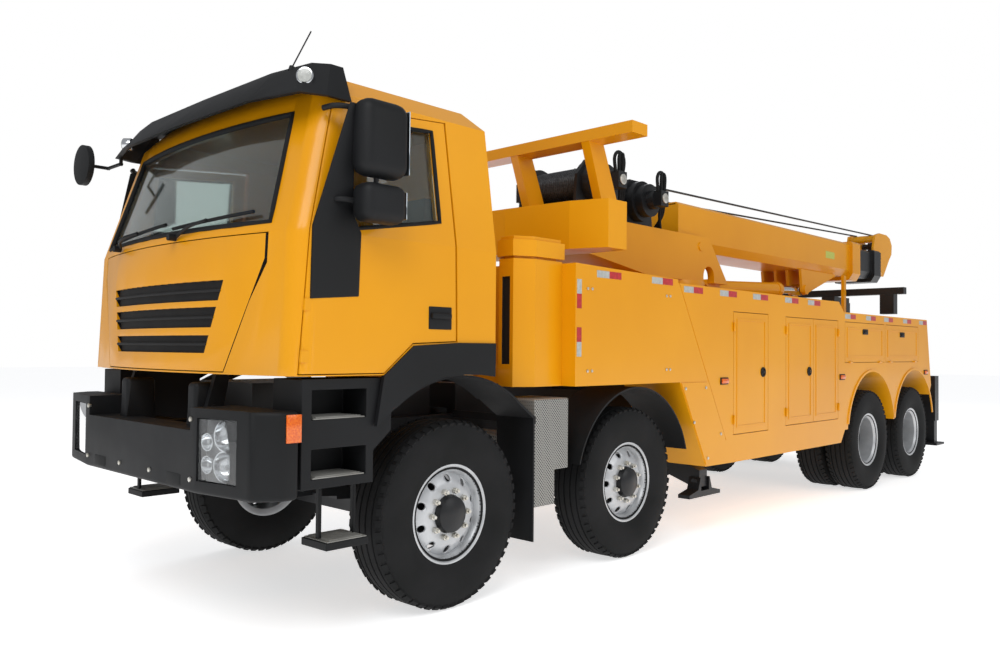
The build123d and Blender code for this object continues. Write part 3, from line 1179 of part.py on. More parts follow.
# Front outriggers: a beam that slides outwards and down, with a foot under its end
slope = radians(OUTRIGGER_SLOPE)
for side_name, side in SIDES.items():
    y = OUTRIGGER_Y - side * 78
    with BuildPart() as outrigger:
        top_in = 545 + (FOOT_X - 150) * sin(slope) / cos(slope)
        front_prism(
            [(side * (FOOT_X + 20), 400), (side * (FOOT_X + 20), 540),
             (side * 150, top_in), (side * 150, top_in - 130), (side * (FOOT_X - 60), 400)],
            (y - 62, y + 62),
        )
        long_bar(30, side * (FOOT_X - 15), 440, (y - 90, y + 90))
        side_prism([(y - 250, FOOT_Z), (y + 250, FOOT_Z), (y + 250, FOOT_Z + 30),
                    (y + 110, FOOT_Z + 60), (y + 75, 480), (y + 64, 480), (y + 64, FOOT_Z + 50),
                    (y - 64, FOOT_Z + 50), (y - 64, 480), (y - 75, 480),
                    (y - 110, FOOT_Z + 60), (y - 250, FOOT_Z + 30)],
                   span(side, FOOT_X - 70, FOOT_X + 40))
    keep(f"outrigger_{side_name}", outrigger.part)

# Rear jacks: an upright leg with a foot, sliding in a sleeve on the tail frame

for side_name, side in SIDES.items():
    with BuildPart() as jack:
        block(span(side, JACK_X - JACK_LEG, JACK_X + JACK_LEG),
              (JACK_Y - JACK_LEG, JACK_Y + JACK_LEG), (FOOT_Z + 30, 1190))
        block(span(side, JACK_X - 120, JACK_X + 120), (JACK_Y - 160, JACK_Y + 160),
              (FOOT_Z, FOOT_Z + 30))
    keep(f"rear_jack_{side_name}", jack.part)

# Underlift: a hollow arm that folds down from upright, a slide in it and the crossbar
ARM_HALF = 118.0
ARM_FRONT = LIFT_PIN_Y - 60.0
ARM_BACK = LIFT_PIN_Y + 110.0
ARM_TOP = 2050.0
ARM_WALL = 16.0
with BuildPart() as underlift_arm:
    block((-ARM_HALF, ARM_HALF), (ARM_FRONT, ARM_BACK), (LIFT_PIN_Z - 60, ARM_TOP))
    block((ARM_WALL - ARM_HALF, ARM_HALF - ARM_WALL),
          (ARM_FRONT + ARM_WALL, ARM_BACK - ARM_WALL), (LIFT_PIN_Z + 120, ARM_TOP + 1),
          Mode.SUBTRACT)
    cross_bar(40 + PIN_CLEARANCE, LIFT_PIN_Y, LIFT_PIN_Z, (-ARM_HALF - 1, ARM_HALF + 1),
              Mode.SUBTRACT)
keep("underlift_arm", underlift_arm.part)

with BuildPart() as underlift_crossbar:
    gap = ARM_WALL + SLIDE_FIT
    block((gap - ARM_HALF, ARM_HALF - gap), (ARM_FRONT + gap, ARM_BACK - gap),
          (LIFT_PIN_Z + 200, 2250))
    block((-90, 90), (CROSSBAR_Y - 60, ARM_BACK - gap), (2180, 2320))
    block((-CROSSBAR_HALF, CROSSBAR_HALF), (CROSSBAR_Y - 55, CROSSBAR_Y + 55),
          (CROSSBAR_Z - 50, CROSSBAR_Z + 40))
    block((-90, 90), (CROSSBAR_Y - 60, CROSSBAR_Y + 60), (2180, CROSSBAR_Z - 50))
    for side in SIDES.values():
        block(span(side, 700, 880), (CROSSBAR_Y - 70, CROSSBAR_Y + 70),
              (2060, CROSSBAR_Z - 50))
keep("underlift_crossbar", underlift_crossbar.part)

for name, part in parts.items():
    export_step(part, f"parts/{name}.step")
    solids = len(part.solids())
    print(f"{name}: {solids} solids, {part.volume / 1e6:.1f} litres")
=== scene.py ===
# %% [markdown]
# A heavy recovery truck, dressed piece by piece. The imported model gives the construction, and every
# piece added here sits in the same frame: +X is the truck's left, it faces -Y, +Z is up, in metres.

# %% Load the frame
import json
import math

import bmesh
import bpy
from mathutils import Matrix, Vector

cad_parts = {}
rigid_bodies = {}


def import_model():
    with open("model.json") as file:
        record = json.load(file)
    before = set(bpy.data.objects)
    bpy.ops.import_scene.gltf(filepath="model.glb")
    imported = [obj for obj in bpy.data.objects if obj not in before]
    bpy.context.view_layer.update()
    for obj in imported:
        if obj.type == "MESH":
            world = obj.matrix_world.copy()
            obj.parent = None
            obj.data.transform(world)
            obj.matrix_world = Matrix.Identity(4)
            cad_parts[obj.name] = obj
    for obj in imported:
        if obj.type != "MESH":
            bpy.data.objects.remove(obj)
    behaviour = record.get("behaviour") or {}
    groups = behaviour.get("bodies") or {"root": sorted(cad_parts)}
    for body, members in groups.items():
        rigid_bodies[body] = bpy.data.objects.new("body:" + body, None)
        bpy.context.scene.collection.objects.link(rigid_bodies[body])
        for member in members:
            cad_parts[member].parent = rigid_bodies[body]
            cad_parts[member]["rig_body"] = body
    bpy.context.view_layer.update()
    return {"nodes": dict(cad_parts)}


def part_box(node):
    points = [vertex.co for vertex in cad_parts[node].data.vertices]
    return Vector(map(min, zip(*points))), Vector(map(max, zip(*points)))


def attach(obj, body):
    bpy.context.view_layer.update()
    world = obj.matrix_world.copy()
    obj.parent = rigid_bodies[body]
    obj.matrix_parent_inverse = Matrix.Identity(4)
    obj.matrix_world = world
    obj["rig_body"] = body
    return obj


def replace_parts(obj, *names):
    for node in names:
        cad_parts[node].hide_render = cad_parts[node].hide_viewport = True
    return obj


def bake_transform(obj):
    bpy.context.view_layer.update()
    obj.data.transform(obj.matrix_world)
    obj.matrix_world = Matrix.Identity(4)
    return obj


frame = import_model()
NODES = frame["nodes"]
FRONT_AXLE_Y = -4.335
AXLE_Y = [FRONT_AXLE_Y + step for step in (0.0, 1.8, 6.4, 7.8)]
HUB_Z = 0.56
SIDES = {"left": 1, "right": -1}

# %% [markdown]
# The camera stands where the photographer stood: a little over a metre and a half up, off the
# truck's front left corner. Its turn, tip and small roll were solved from the wheels and the body.

# %% Camera
CAMERA_PLACE = Vector((4.8675, -7.8097, 1.5437))
CAMERA_YAW, CAMERA_TIP, CAMERA_ROLL = (math.radians(a) for a in (43.785, 1.348, 0.515))
CAMERA_LENS = 30.55

look = Vector((
    -math.sin(CAMERA_YAW) * math.cos(CAMERA_TIP),
    math.cos(CAMERA_YAW) * math.cos(CAMERA_TIP),
    math.sin(CAMERA_TIP),
))
level_right = look.cross(Vector((0, 0, 1))).normalized()
level_up = level_right.cross(look)
right = level_right * math.cos(CAMERA_ROLL) + level_up * math.sin(CAMERA_ROLL)
up = level_up * math.cos(CAMERA_ROLL) - level_right * math.sin(CAMERA_ROLL)
camera_data = bpy.data.cameras.new("photo_camera")
camera_data.lens = CAMERA_LENS
camera_data.sensor_width = 36.0
camera_data.clip_end = 200.0
camera = bpy.data.objects.new("photo_camera", camera_data)
bpy.context.scene.collection.objects.link(camera)
camera.matrix_world = Matrix.Translation(CAMERA_PLACE) @ Matrix(
    (right, up, -look)).transposed().to_4x4()
bpy.context.scene.camera = camera
print("camera looks along", [round(v, 3) for v in look])

# %% [markdown]
# Colours are written as sRGB hex values, as a paint chart gives them, and one function turns them
# to the linear values that the shader works with. Another adds a node with its settings and links,
# so that each finish below reads as a short recipe.

# %% Colour and node helpers
def linear(hex_colour):
    """An sRGB hex colour as linear red, green, blue and a full alpha."""
    channels = [int(hex_colour[i:i + 2], 16) / 255 for i in (1, 3, 5)]
    bent = [c / 12.92 if c <= 0.04045 else ((c + 0.055) / 1.055) ** 2.4 for c in channels]
    return (*bent, 1.0)


def add_node(tree, kind, settings=None, links=None):
    """A node with its attributes or socket values set and its inputs linked."""
    made = tree.nodes.new(kind)
    for key, value in (settings or {}).items():
        if isinstance(key, int) or key in made.inputs:
            made.inputs[key].default_value = value
        else:
            setattr(made, key, value)
    for key, source in (links or {}).items():
        tree.links.new(source, made.inputs[key])
    return made


def start_finish(name, colour, rough, metallic=0.0, **more):
    """A material with its shader and object coordinates: (material, tree, shader, place)."""
    finish = bpy.data.materials.new(name)
    finish.use_nodes = True
    tree = finish.node_tree
    shader = tree.nodes["Principled BSDF"]
    shader.inputs["Base Color"].default_value = linear(colour)
    shader.inputs["Roughness"].default_value = rough
    shader.inputs["Metallic"].default_value = metallic
    for key, value in more.items():
        shader.inputs[key.replace("_", " ")].default_value = value
    place = add_node(tree, "ShaderNodeTexCoord").outputs["Object"]
    print("finish", name, colour)
    return finish, tree, shader, place


PATCH_EDGES = (0.35, 0.65)


def vary(tree, shader, place, first, second, size):
    """Let the colour drift between two hex values in patches of a size in metres."""
    noise = add_node(tree, "ShaderNodeTexNoise", {"Scale": 1 / size, "Detail": 4.0},
                     {"Vector": place})
    ramp = add_node(tree, "ShaderNodeValToRGB", links={"Fac": noise.outputs["Fac"]})
    for stop, edge, colour in zip(ramp.color_ramp.elements, PATCH_EDGES, (first, second)):
        stop.position, stop.color = edge, linear(colour)
    tree.links.new(ramp.outputs["Color"], shader.inputs["Base Color"])


def roughen(tree, shader, place, size, low, high):
    """Let the roughness drift between two values in patches of a size in metres."""
    noise = add_node(tree, "ShaderNodeTexNoise", {"Scale": 1 / size, "Detail": 6.0},
                     {"Vector": place})
    ramp = add_node(tree, "ShaderNodeMapRange", {"To Min": low, "To Max": high},
                    {"Value": noise.outputs["Fac"]})
    tree.links.new(ramp.outputs["Result"], shader.inputs["Roughness"])


def grain(tree, shader, place, size, height, strength=0.5):
    """Raise a fine grain of a size and height in metres."""
    noise = add_node(tree, "ShaderNodeTexNoise", {"Scale": 1 / size, "Detail": 3.0},
                     {"Vector": place})
    bump = add_node(tree, "ShaderNodeBump", {"Distance": height, "Strength": strength},
                    {"Height": noise.outputs["Fac"]})
    tree.links.new(bump.outputs["Normal"], shader.inputs["Normal"])


# %% [markdown]
# The truck wears few finishes. Its body is two-pack enamel sprayed over filled steel: full colour,
# a soft gloss from the thin clear coat, and the faint orange peel that spray leaves, 8 mm across.
# The colour could be one flat value, but it drifts a little over a metre or so, as on large sheets.

# %% Yellow enamel
enamel, tree, shader, place = start_finish(
    "yellow_enamel", "#E59B05", 0.34, Coat_Weight=0.2, Coat_Roughness=0.1,
    Specular_IOR_Level=0.3)
vary(tree, shader, place, "#E19702", "#E89F08", 1.4)
roughen(tree, shader, place, 0.5, 0.26, 0.4)
ORANGE_PEEL = 0.008
grain(tree, shader, place, ORANGE_PEEL, 0.0003, 0.12)

# %% [markdown]
# Bumper, steps and guards are polypropylene moulded in a grained tool, so they are black but never
# glossy, with a grain of about 1 mm. It is drawn at 3 mm, the finest that shows from the camera.
# Tyre rubber is duller still. The chassis is brushed with black paint, which keeps a weak gloss.

# %% Black plastics, rubber and black paint
plastic, tree, shader, place = start_finish(
    "grained_polypropylene", "#141516", 0.5, Specular_IOR_Level=0.25)
vary(tree, shader, place, "#111213", "#191A1C", 0.5)
roughen(tree, shader, place, 0.25, 0.45, 0.68)
MOULD_GRAIN = 0.003
grain(tree, shader, place, MOULD_GRAIN, 0.0004)

rubber, tree, shader, place = start_finish("tyre_rubber", "#161717", 0.8, Specular_IOR_Level=0.25)
vary(tree, shader, place, "#131414", "#1C1C1D", 0.3)
grain(tree, shader, place, 0.006, 0.0008, 0.35)

black_paint, tree, shader, place = start_finish(
    "black_chassis_paint", "#141517", 0.38, Coat_Weight=0.12, Coat_Roughness=0.2,
    Specular_IOR_Level=0.35)
vary(tree, shader, place, "#141517", "#1E1F21", 0.6)
roughen(tree, shader, place, 0.3, 0.32, 0.55)

# %% [markdown]
# The rims are sprayed with silver lacquer: aluminium flake in a clear binder, which is a soft metal
# sheen with no mirror in it. Flakes could be drawn one by one, but from here a part metal with a
# drifting roughness reads the same. Nuts and bolts are zinc plated, the rods are ground and
# chromed, and the tank's brushed lines are a fine noise that is stretched along it.

# %% Metals
silver, tree, shader, place = start_finish("silver_lacquer", "#C4C6C8", 0.38, metallic=0.55)
vary(tree, shader, place, "#B9BBBD", "#CCCED0", 0.15)
roughen(tree, shader, place, 0.1, 0.3, 0.48)

zinc, tree, shader, place = start_finish("zinc_plate", "#D3CFC4", 0.34, metallic=0.8)
vary(tree, shader, place, "#C2BEB2", "#DDDBD4", 0.03)

chrome, tree, shader, place = start_finish("hard_chrome", "#D9DBDD", 0.14, metallic=1.0)
roughen(tree, shader, place, 0.2, 0.1, 0.2)

tank_metal, tree, shader, place = start_finish("brushed_aluminium", "#B4B6B8", 0.4, metallic=0.9)
BRUSH_LINES = 0.004
stretched = add_node(tree, "ShaderNodeMapping", {"Scale": (1.0, 0.05, 1.0)}, {"Vector": place})
grain(tree, shader, stretched.outputs["Vector"], BRUSH_LINES, 0.0002, 0.4)

wire_rope, tree, shader, place = start_finish("greased_wire_rope", "#3A3B3D", 0.45, metallic=0.6)
vary(tree, shader, place, "#2C2D2F", "#4A4B4C", 0.02)

# %% [markdown]
# Glass is float glass with a pale green cast. It lets light through and mirrors the room, so nearly
# all of it is transmission, with a low roughness and an IOR a little under the usual 1.5. Lamp
# covers are clear polycarbonate. Coloured lenses need no light from behind, so they are glossy
# acrylic with fine prisms, and the reflective films have a fine quilted pattern under a clear face.

# %% Glass and lenses
glass, tree, shader, place = start_finish(
    "float_glass", "#C6D2CF", 0.03, Transmission_Weight=0.96, IOR=1.45)
roughen(tree, shader, place, 0.6, 0.02, 0.05)

lens_clear, tree, shader, place = start_finish(
    "clear_polycarbonate", "#F3F5F6", 0.03, Transmission_Weight=0.97, IOR=1.5)
roughen(tree, shader, place, 0.1, 0.02, 0.05)

mirror_glass, tree, shader, place = start_finish("mirror_glass", "#C9D0D4", 0.05, metallic=1.0)
roughen(tree, shader, place, 0.2, 0.03, 0.08)


def lens(name, colour, deep):
    """A moulded acrylic lens with fine prisms on its inside."""
    made, lens_tree, lens_shader, lens_place = start_finish(
        name, colour, 0.15, Coat_Weight=0.5, Coat_Roughness=0.05)
    vary(lens_tree, lens_shader, lens_place, colour, deep, 0.01)
    grain(lens_tree, lens_shader, lens_place, 0.005, 0.0006)
    return made


def reflective(name, colour, deep):
    """A film of glass beads under a clear face, with a fine quilted seal pattern."""
    made, film_tree, film_shader, film_place = start_finish(name, colour, 0.3, Coat_Weight=0.4)
    vary(film_tree, film_shader, film_place, colour, deep, 0.02)
    grain(film_tree, film_shader, film_place, 0.006, 0.0003, 0.4)
    return made


strip_grey = reflective("grey_reflective_film", "#B9BBB6", "#A7A9A5")
strip_red = reflective("red_reflective_film", "#C4252B", "#A81C22")
label_film = reflective("label_film", "#C6CE52", "#B9C248")
amber = lens("amber_acrylic", "#F07818", "#D8560C")
red = lens("red_acrylic", "#D0202A", "#A0121C")

# %% [markdown]
# Trim inside the cab is dark grained vinyl over foam. Step treads are bare steel sheet, gone grey,
# and a near black stands for the inside of a slot or a grille, where no light comes back.

# %% Trim and sheet
vinyl, tree, shader, place = start_finish("dark_vinyl", "#3A3B3E", 0.6)
vary(tree, shader, place, "#333437", "#434447", 0.2)
grain(tree, shader, place, 0.004, 0.0005, 0.4)

sheet_steel, tree, shader, place = start_finish("grey_steel_sheet", "#8C8B86", 0.5, metallic=0.35)
vary(tree, shader, place, "#7F7E79", "#979691", 0.2)

dark_hole, tree, shader, place = start_finish("shadowed_inside", "#0B0C0D", 0.8)
vary(tree, shader, place, "#090A0B", "#121314", 0.1)

# %% [markdown]
# The silencer's guard is a perforated sheet. Cutting thousands of holes would cost far more than
# they show, so they are drawn: holes stand on a square grid, turned by 45°, and each is a dark spot
# of painted shade where the distance to the grid's nearest point is small.

# %% Perforated sheet
HOLE_PITCH = 0.016
HOLE_SHARE = 0.30
# The hole colour is painted shade, the dark seen through each hole.
SHEET_COLOUR, HOLE_COLOUR = "#9A9994", "#1A1A1A"
perforated, tree, shader, place = start_finish("perforated_steel", SHEET_COLOUR, 0.42, metallic=0.4)
turned_place = add_node(tree, "ShaderNodeMapping", {"Rotation": (math.radians(45), 0, 0)},
                        {"Vector": place})
cells = add_node(tree, "ShaderNodeTexVoronoi", {"Scale": 1 / HOLE_PITCH, "Randomness": 0.0},
                 {"Vector": turned_place.outputs["Vector"]})
spots = add_node(tree, "ShaderNodeMath", {"operation": "LESS_THAN", 1: HOLE_SHARE},
                 {0: cells.outputs["Distance"]})
mixed = add_node(
    tree, "ShaderNodeMix", {"data_type": "RGBA", 6: linear(SHEET_COLOUR), 7: linear(HOLE_COLOUR)},
    {0: spots.outputs[0]})
tree.links.new(mixed.outputs[2], shader.inputs["Base Color"])

# %% [markdown]
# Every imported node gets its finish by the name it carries. A node that shows two finishes, such as
# the front flap with its grille, takes a second slot, and the faces are told apart by where they
# lie. Nodes that a finer piece stands for further down need none.

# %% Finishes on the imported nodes
def dress(names, *finishes):
    """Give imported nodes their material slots, the first finish on every face."""
    for name in names:
        data = NODES[name].data
        data.materials.clear()
        for finish in finishes:
            data.materials.append(finish)
        for face in data.polygons:
            face.material_index = 0


def repaint(name, index, test):
    """Move the faces of a node that pass a test to another of its material slots."""
    data = NODES[name].data
    for face in data.polygons:
        if test(face.center):
            face.material_index = index


FINISHES = (
    # The starts of the names, and the finishes of their slots
    (("body_", "locker_", "cab_door_", "turret", "counterweight", "boom_outer", "lift_barrels"),
     (enamel,)),
    (("boom_middle", "winches", "underlift", "chassis", "axles", "leaf", "engine", "knuckle",
      "outrigger", "rear_jack"), (black_paint,)),
    (("cab_steps", "mudguards", "sun_visor"), (plastic,)),
    (("cab_shell",), (enamel, plastic)),
    (("front_flap", "deck"), (enamel, dark_hole)),
    (("boom_head",), (enamel, black_paint)),
    (("windscreen", "door_glass"), (glass,)),
    (("cab_interior",), (vinyl,)),
    (("silencer",), (perforated,)),
    (("fuel_tank",), (tank_metal,)),
    (("lift_rods",), (chrome,)),
)
for starts, finishes in FINISHES:
    names = [name for name in NODES if name.startswith(starts)]
    dress(names, *finishes)
    print(len(names), "nodes in", finishes[0].name)

# %% [markdown]
# Pressed and moulded parts have no sharp edges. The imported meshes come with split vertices, so each
# is welded, its flat faces are joined, and then its edges are bevelled by the radius that its own
# making gives. All three are live modifiers, which leave the mesh itself alone.

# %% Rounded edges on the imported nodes
EDGE_RADII = (
    # Radius, and the starts of the names that it holds for
    (0.018, ("counterweight", "cab_steps")),
    (0.010, ("cab_shell", "sun_visor", "silencer", "fuel_tank")),
    (0.006, ("body_", "deck", "turret", "boom_", "front_flap", "underlift", "outrigger",
             "rear_jack")),
    (0.004, ("locker_", "cab_door_", "lift_", "winches", "knuckle", "chassis")),
)
MERGE_WITHIN = 0.0002
FLAT_WITHIN = math.radians(1.5)
SHARP_FROM = math.radians(32)
for radius, starts in EDGE_RADII:
    for name in NODES:
        if not name.startswith(starts):
            continue
        weld = NODES[name].modifiers.new("weld", "WELD")
        weld.merge_threshold = MERGE_WITHIN
        flat = NODES[name].modifiers.new("flat", "DECIMATE")
        flat.decimate_type, flat.angle_limit = "DISSOLVE", FLAT_WITHIN
        flat.delimit = {"MATERIAL", "NORMAL"}
        edges = NODES[name].modifiers.new("edges", "BEVEL")
        edges.width, edges.segments = radius, 3
        edges.limit_method, edges.angle_limit = "ANGLE", SHARP_FROM
        edges.use_clamp_overlap, edges.harden_normals = True, True
    print("edges rounded by up to", radius, "m on", starts)

# %% [markdown]
# Every new piece is made of a few simple shapes. Each shape is modelled where it belongs, its place
# is baked into its mesh, its sharp edges are rounded a little, and the shapes of one piece are
# joined and set to ride on the body that carries them. Places are written as they were measured,
# with y from the first axle, and `at` moves them to the truck's own frame.

# %% Shape helpers
def at(x, y, z):
    """A measured place in the truck's frame."""
    return Vector((x, y + FRONT_AXLE_Y, z))


def pick(made):
    """Select one object and make it active."""
    bpy.ops.object.select_all(action="DESELECT")
    made.select_set(True)
    bpy.context.view_layer.objects.active = made


SMOOTH_WITHIN = 0.6
LARGE_RADIUS = 0.015


def settle(made, finish, edge=0.0):
    """Bake a shape's place into its mesh, round its edges and give it its finish."""
    pick(made)
    bpy.ops.object.transform_apply(location=True, rotation=True, scale=True)
    if edge:
        rounding = made.modifiers.new("edge", "BEVEL")
        rounding.width, rounding.segments = edge, 2 if edge < LARGE_RADIUS else 5
        bpy.ops.object.modifier_apply(modifier="edge")
    bpy.ops.object.shade_smooth_by_angle(angle=SMOOTH_WITHIN)
    made.data.materials.clear()
    made.data.materials.append(finish)
    return made


def slab(low, high, finish, edge=0.003):
    """A box between two corners."""
    low, high = at(*low), at(*high)
    bpy.ops.mesh.primitive_cube_add(size=1.0, location=(low + high) / 2)
    made = bpy.context.active_object
    made.scale = high - low
    return settle(made, finish, edge)


def rod(start, end, radius, finish, sides=32, edge=0.0):
    """A round bar between two places."""
    start, end = at(*start), at(*end)
    bpy.ops.mesh.primitive_cylinder_add(
        vertices=sides, radius=radius, depth=(end - start).length, location=(start + end) / 2)
    made = bpy.context.active_object
    made.rotation_mode = "QUATERNION"
    made.rotation_quaternion = (end - start).to_track_quat("Z", "Y")
    return settle(made, finish, edge)


def plate(outline, low, high, finish, edge, shift):
    """A side view's outline, extruded across from low to high, each point shifted by a function."""
    mesh = bpy.data.meshes.new("plate")
    mesh.from_pydata([at(low, y, z) for y, z in outline], [], [range(len(outline))])
    made = bpy.data.objects.new("plate", mesh)
    bpy.context.scene.collection.objects.link(made)
    pick(made)
    bpy.ops.object.mode_set(mode="EDIT")
    bpy.ops.mesh.select_all(action="SELECT")
    bpy.ops.mesh.extrude_region_move(TRANSFORM_OT_translate={"value": (high - low, 0.0, 0.0)})
    bpy.ops.mesh.select_all(action="SELECT")
    bpy.ops.mesh.normals_make_consistent(inside=False)
    bpy.ops.object.mode_set(mode="OBJECT")
    for point in mesh.vertices:
        point.co += Vector(shift(*point.co))
    return settle(made, finish, edge)


def lathe(profile, centre, finish, turn=0.0, steps=72):
    """Spin a closed outline of (x, radius) points round the X axis, then turn it about Z."""
    mesh = bpy.data.meshes.new("lathe")
    count = len(profile)
    mesh.from_pydata([(x, 0, r) for x, r in profile],
                     [(i, (i + 1) % count) for i in range(count)], [])
    made = bpy.data.objects.new("lathe", mesh)
    bpy.context.scene.collection.objects.link(made)
    pick(made)
    bpy.ops.object.mode_set(mode="EDIT")
    bpy.ops.mesh.select_all(action="SELECT")
    bpy.ops.mesh.spin(steps=steps, angle=2 * math.pi, center=(0, 0, 0), axis=(1, 0, 0))
    bpy.ops.mesh.select_all(action="SELECT")
    bpy.ops.mesh.remove_doubles(threshold=0.0001)
    bpy.ops.mesh.normals_make_consistent(inside=False)
    bpy.ops.object.mode_set(mode="OBJECT")
    made.rotation_euler = (0, 0, turn)
    made.location = centre
    return settle(made, finish)


def hose(points, radius, finish, closed=False, straight=False):
    """A round line through places, smooth or straight from point to point."""
    curve = bpy.data.curves.new("hose", "CURVE")
    curve.dimensions = "3D"
    curve.bevel_depth, curve.bevel_resolution, curve.resolution_u = radius, 4, 8
    curve.use_fill_caps = True
    line = curve.splines.new("BEZIER")
    line.bezier_points.add(len(points) - 1)
    line.use_cyclic_u = closed
    for knot, place in zip(line.bezier_points, points):
        knot.co = at(*place)
        knot.handle_left_type = knot.handle_right_type = "VECTOR" if straight else "AUTO"
    made = bpy.data.objects.new("hose", curve)
    bpy.context.scene.collection.objects.link(made)
    pick(made)
    bpy.ops.object.convert(target="MESH")
    return settle(bpy.context.active_object, finish)


def gather(name, *shapes):
    """Join shapes into one named object."""
    made = shapes[0]
    pick(made)
    for shape in shapes:
        shape.select_set(True)
    if len(shapes) > 1:
        bpy.ops.object.join()
    made.name = made.data.name = name
    return made


def piece(name, body, *shapes):
    """Join shapes into one named piece that rides on a body."""
    made = gather(name, *shapes)
    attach(made, body)
    print(name, "of", len(shapes), "shapes rides on", body)
    return made


# %% [markdown]
# The bumper is blown plastic, and its corners are the roundest on the cab. The modifier above would
# be held small by its little holes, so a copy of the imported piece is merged, its flat faces are
# joined, and only the long sharp edges that have room beside them are rounded, apart from the
# headlamps' recesses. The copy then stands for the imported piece.

# %% The rounded bumper
BUMPER_RADIUS = 0.026
BUMPER_SHORTEST = 0.06
BUMPER_ROOM = 2.2


def in_lamp_recess(x, y, z):
    """True where a point lies at one of the headlamps' recesses."""
    return 0.70 < abs(x) < 1.09 and 0.84 < z < 1.20


def rounded(name, radius, longer_than, finish, kept_sharp):
    """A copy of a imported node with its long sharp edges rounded, to stand for the node."""
    made = bpy.data.objects.new(f"{name}_rounded", NODES[name].data.copy())
    bpy.context.scene.collection.objects.link(made)
    made.matrix_world = NODES[name].matrix_world
    pick(made)
    bpy.ops.object.mode_set(mode="EDIT")
    bpy.ops.mesh.select_mode(type="EDGE")
    bpy.ops.mesh.select_all(action="SELECT")
    bpy.ops.mesh.remove_doubles(threshold=MERGE_WITHIN)
    bpy.ops.mesh.dissolve_limited(angle_limit=FLAT_WITHIN)
    bpy.ops.mesh.select_all(action="DESELECT")
    mesh = bmesh.from_edit_mesh(made.data)
    chosen = []
    for edge in mesh.edges:
        nearest = min(near.calc_length() for end in edge.verts for near in end.link_edges)
        if (len(edge.link_faces) == 2 and edge.calc_face_angle() > 0.5
                and edge.calc_length() > longer_than and nearest > BUMPER_ROOM * radius
                and not all(kept_sharp(*end.co) for end in edge.verts)):
            chosen.append(edge)
    for edge in chosen:
        edge.select = True
    bmesh.update_edit_mesh(made.data)
    bpy.ops.mesh.bevel(offset=radius, segments=5)
    bpy.ops.object.mode_set(mode="OBJECT")
    print(name, "has", len(chosen), "edges rounded")
    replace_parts(piece(f"{name}_rounded", NODES[name]["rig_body"], settle(made, finish)), name)


rounded("bumper", BUMPER_RADIUS, BUMPER_SHORTEST, plastic, kept_sharp=in_lamp_recess)

# %% [markdown]
# The cab's front is bowed in plan and leans in steps, so a small function gives the place of its
# surface at a height and a distance from the middle. Seals, wipers and the grille all use it.

# %% The cab's surface
CAB_LEVELS = (
    # Height, half width, front at the middle, front at the corners
    (1.40, 1.25, -1.32, -1.18),
    (2.14, 1.25, -1.29, -1.15),
    (2.90, 1.15, -1.02, -0.93),
    (3.02, 1.02, -0.90, -0.84),
)
CAB_CORNER = 0.13


def cab_level(z):
    """Half width and the front's two places at a height on the cab."""
    for low, high in zip(CAB_LEVELS, CAB_LEVELS[1:]):
        if z <= high[0]:
            break
    share = (z - low[0]) / (high[0] - low[0])
    return [a + share * (b - a) for a, b in zip(low[1:], high[1:])]


def front_y(x, z):
    """Where the cab's bowed front lies, from the first axle."""
    half, middle, corner = cab_level(z)
    rise, chord = corner - middle, half - CAB_CORNER
    radius = (chord ** 2 + rise ** 2) / (2 * rise)
    return middle + radius - math.sqrt(radius ** 2 - min(abs(x), chord) ** 2)


def side_x(z):
    """Half the cab's width at a height."""
    return cab_level(z)[0]


def along(corners, steps=8):
    """The points of a closed outline with each of its sides cut in steps."""
    points = []
    for (a, b), (c, d) in zip(corners, corners[1:] + corners[:1]):
        points += [(a + (c - a) * i / steps, b + (d - b) * i / steps) for i in range(steps)]
    return points


print("the cab is", 2 * side_x(2.0), "m wide at two metres up")

# %% [markdown]
# The windscreen is glued in behind a rubber seal, and the door glass runs in another: each is a
# curve with a round bevel, laid on the cab's surface, which is quicker than a swept section. The
# door's front corner is a black plastic plate that leans with the glass. The grille's openings and
# the arch trims are in the imported nodes, and only take their finish. The openings and the bars
# laid in them are near black: the grille's black mesh, with painted shade inside it.

# %% Glass seals, grille and arch trims
WINDSCREEN = [(-1.01, 2.19), (1.01, 2.19), (0.92, 2.80), (-0.92, 2.80)]
DOOR_WINDOW = [(-0.83, 2.165), (-0.19, 2.275), (-0.20, 2.81), (-0.79, 2.76)]
piece("windscreen_seal", "cab", hose(
    [(x, front_y(x, z) + 0.004, z) for x, z in along(WINDSCREEN)], 0.016, rubber,
    closed=True, straight=True))
DOOR_PANEL = [(-1.072, 1.79), (-0.775, 1.815), (-0.765, 2.15), (-0.825, 2.24), (-0.845, 2.42),
              (-0.870, 2.80), (-0.905, 2.80), (-1.066, 2.16)]


def lean(x, y, z):
    """The inward lean of the cab's side at a height."""
    return (math.copysign(side_x(z) - side_x(2.0), x), 0, 0)


for side_name, side in SIDES.items():
    seal = hose([(side * (side_x(z) - 0.003), y, z) for y, z in along(DOOR_WINDOW)], 0.012, rubber,
                closed=True, straight=True)
    corner = plate(DOOR_PANEL, side * 1.240, side * 1.254, plastic, 0.004, shift=lean)
    handle_cup = slab((side * 1.244, -0.285, 1.655), (side * 1.256, -0.110, 1.785), plastic, 0.02)
    handle = slab((side * 1.252, -0.275, 1.715), (side * 1.276, -0.125, 1.748), plastic, 0.008)
    piece(f"door_trim_{side_name}", f"cab_door_{side_name}", seal, corner, handle_cup, handle)

GRILLE_FOOT, GRILLE_FOOT_HALF, GRILLE_SPREAD = 1.506, 0.56, 0.343
# The bars are near black too: the grille's black mesh, with painted shade inside it.
bars = []
for z in (1.558, 1.703, 1.846):
    half = GRILLE_FOOT_HALF + (z - GRILLE_FOOT) * GRILLE_SPREAD
    points = [(half * i / 8, front_y(half * i / 8, z) + 0.003, z) for i in range(-8, 9)]
    bars.append(hose(points, 0.0085, dark_hole, straight=True))
piece("grille_bars", "front_flap", *bars)


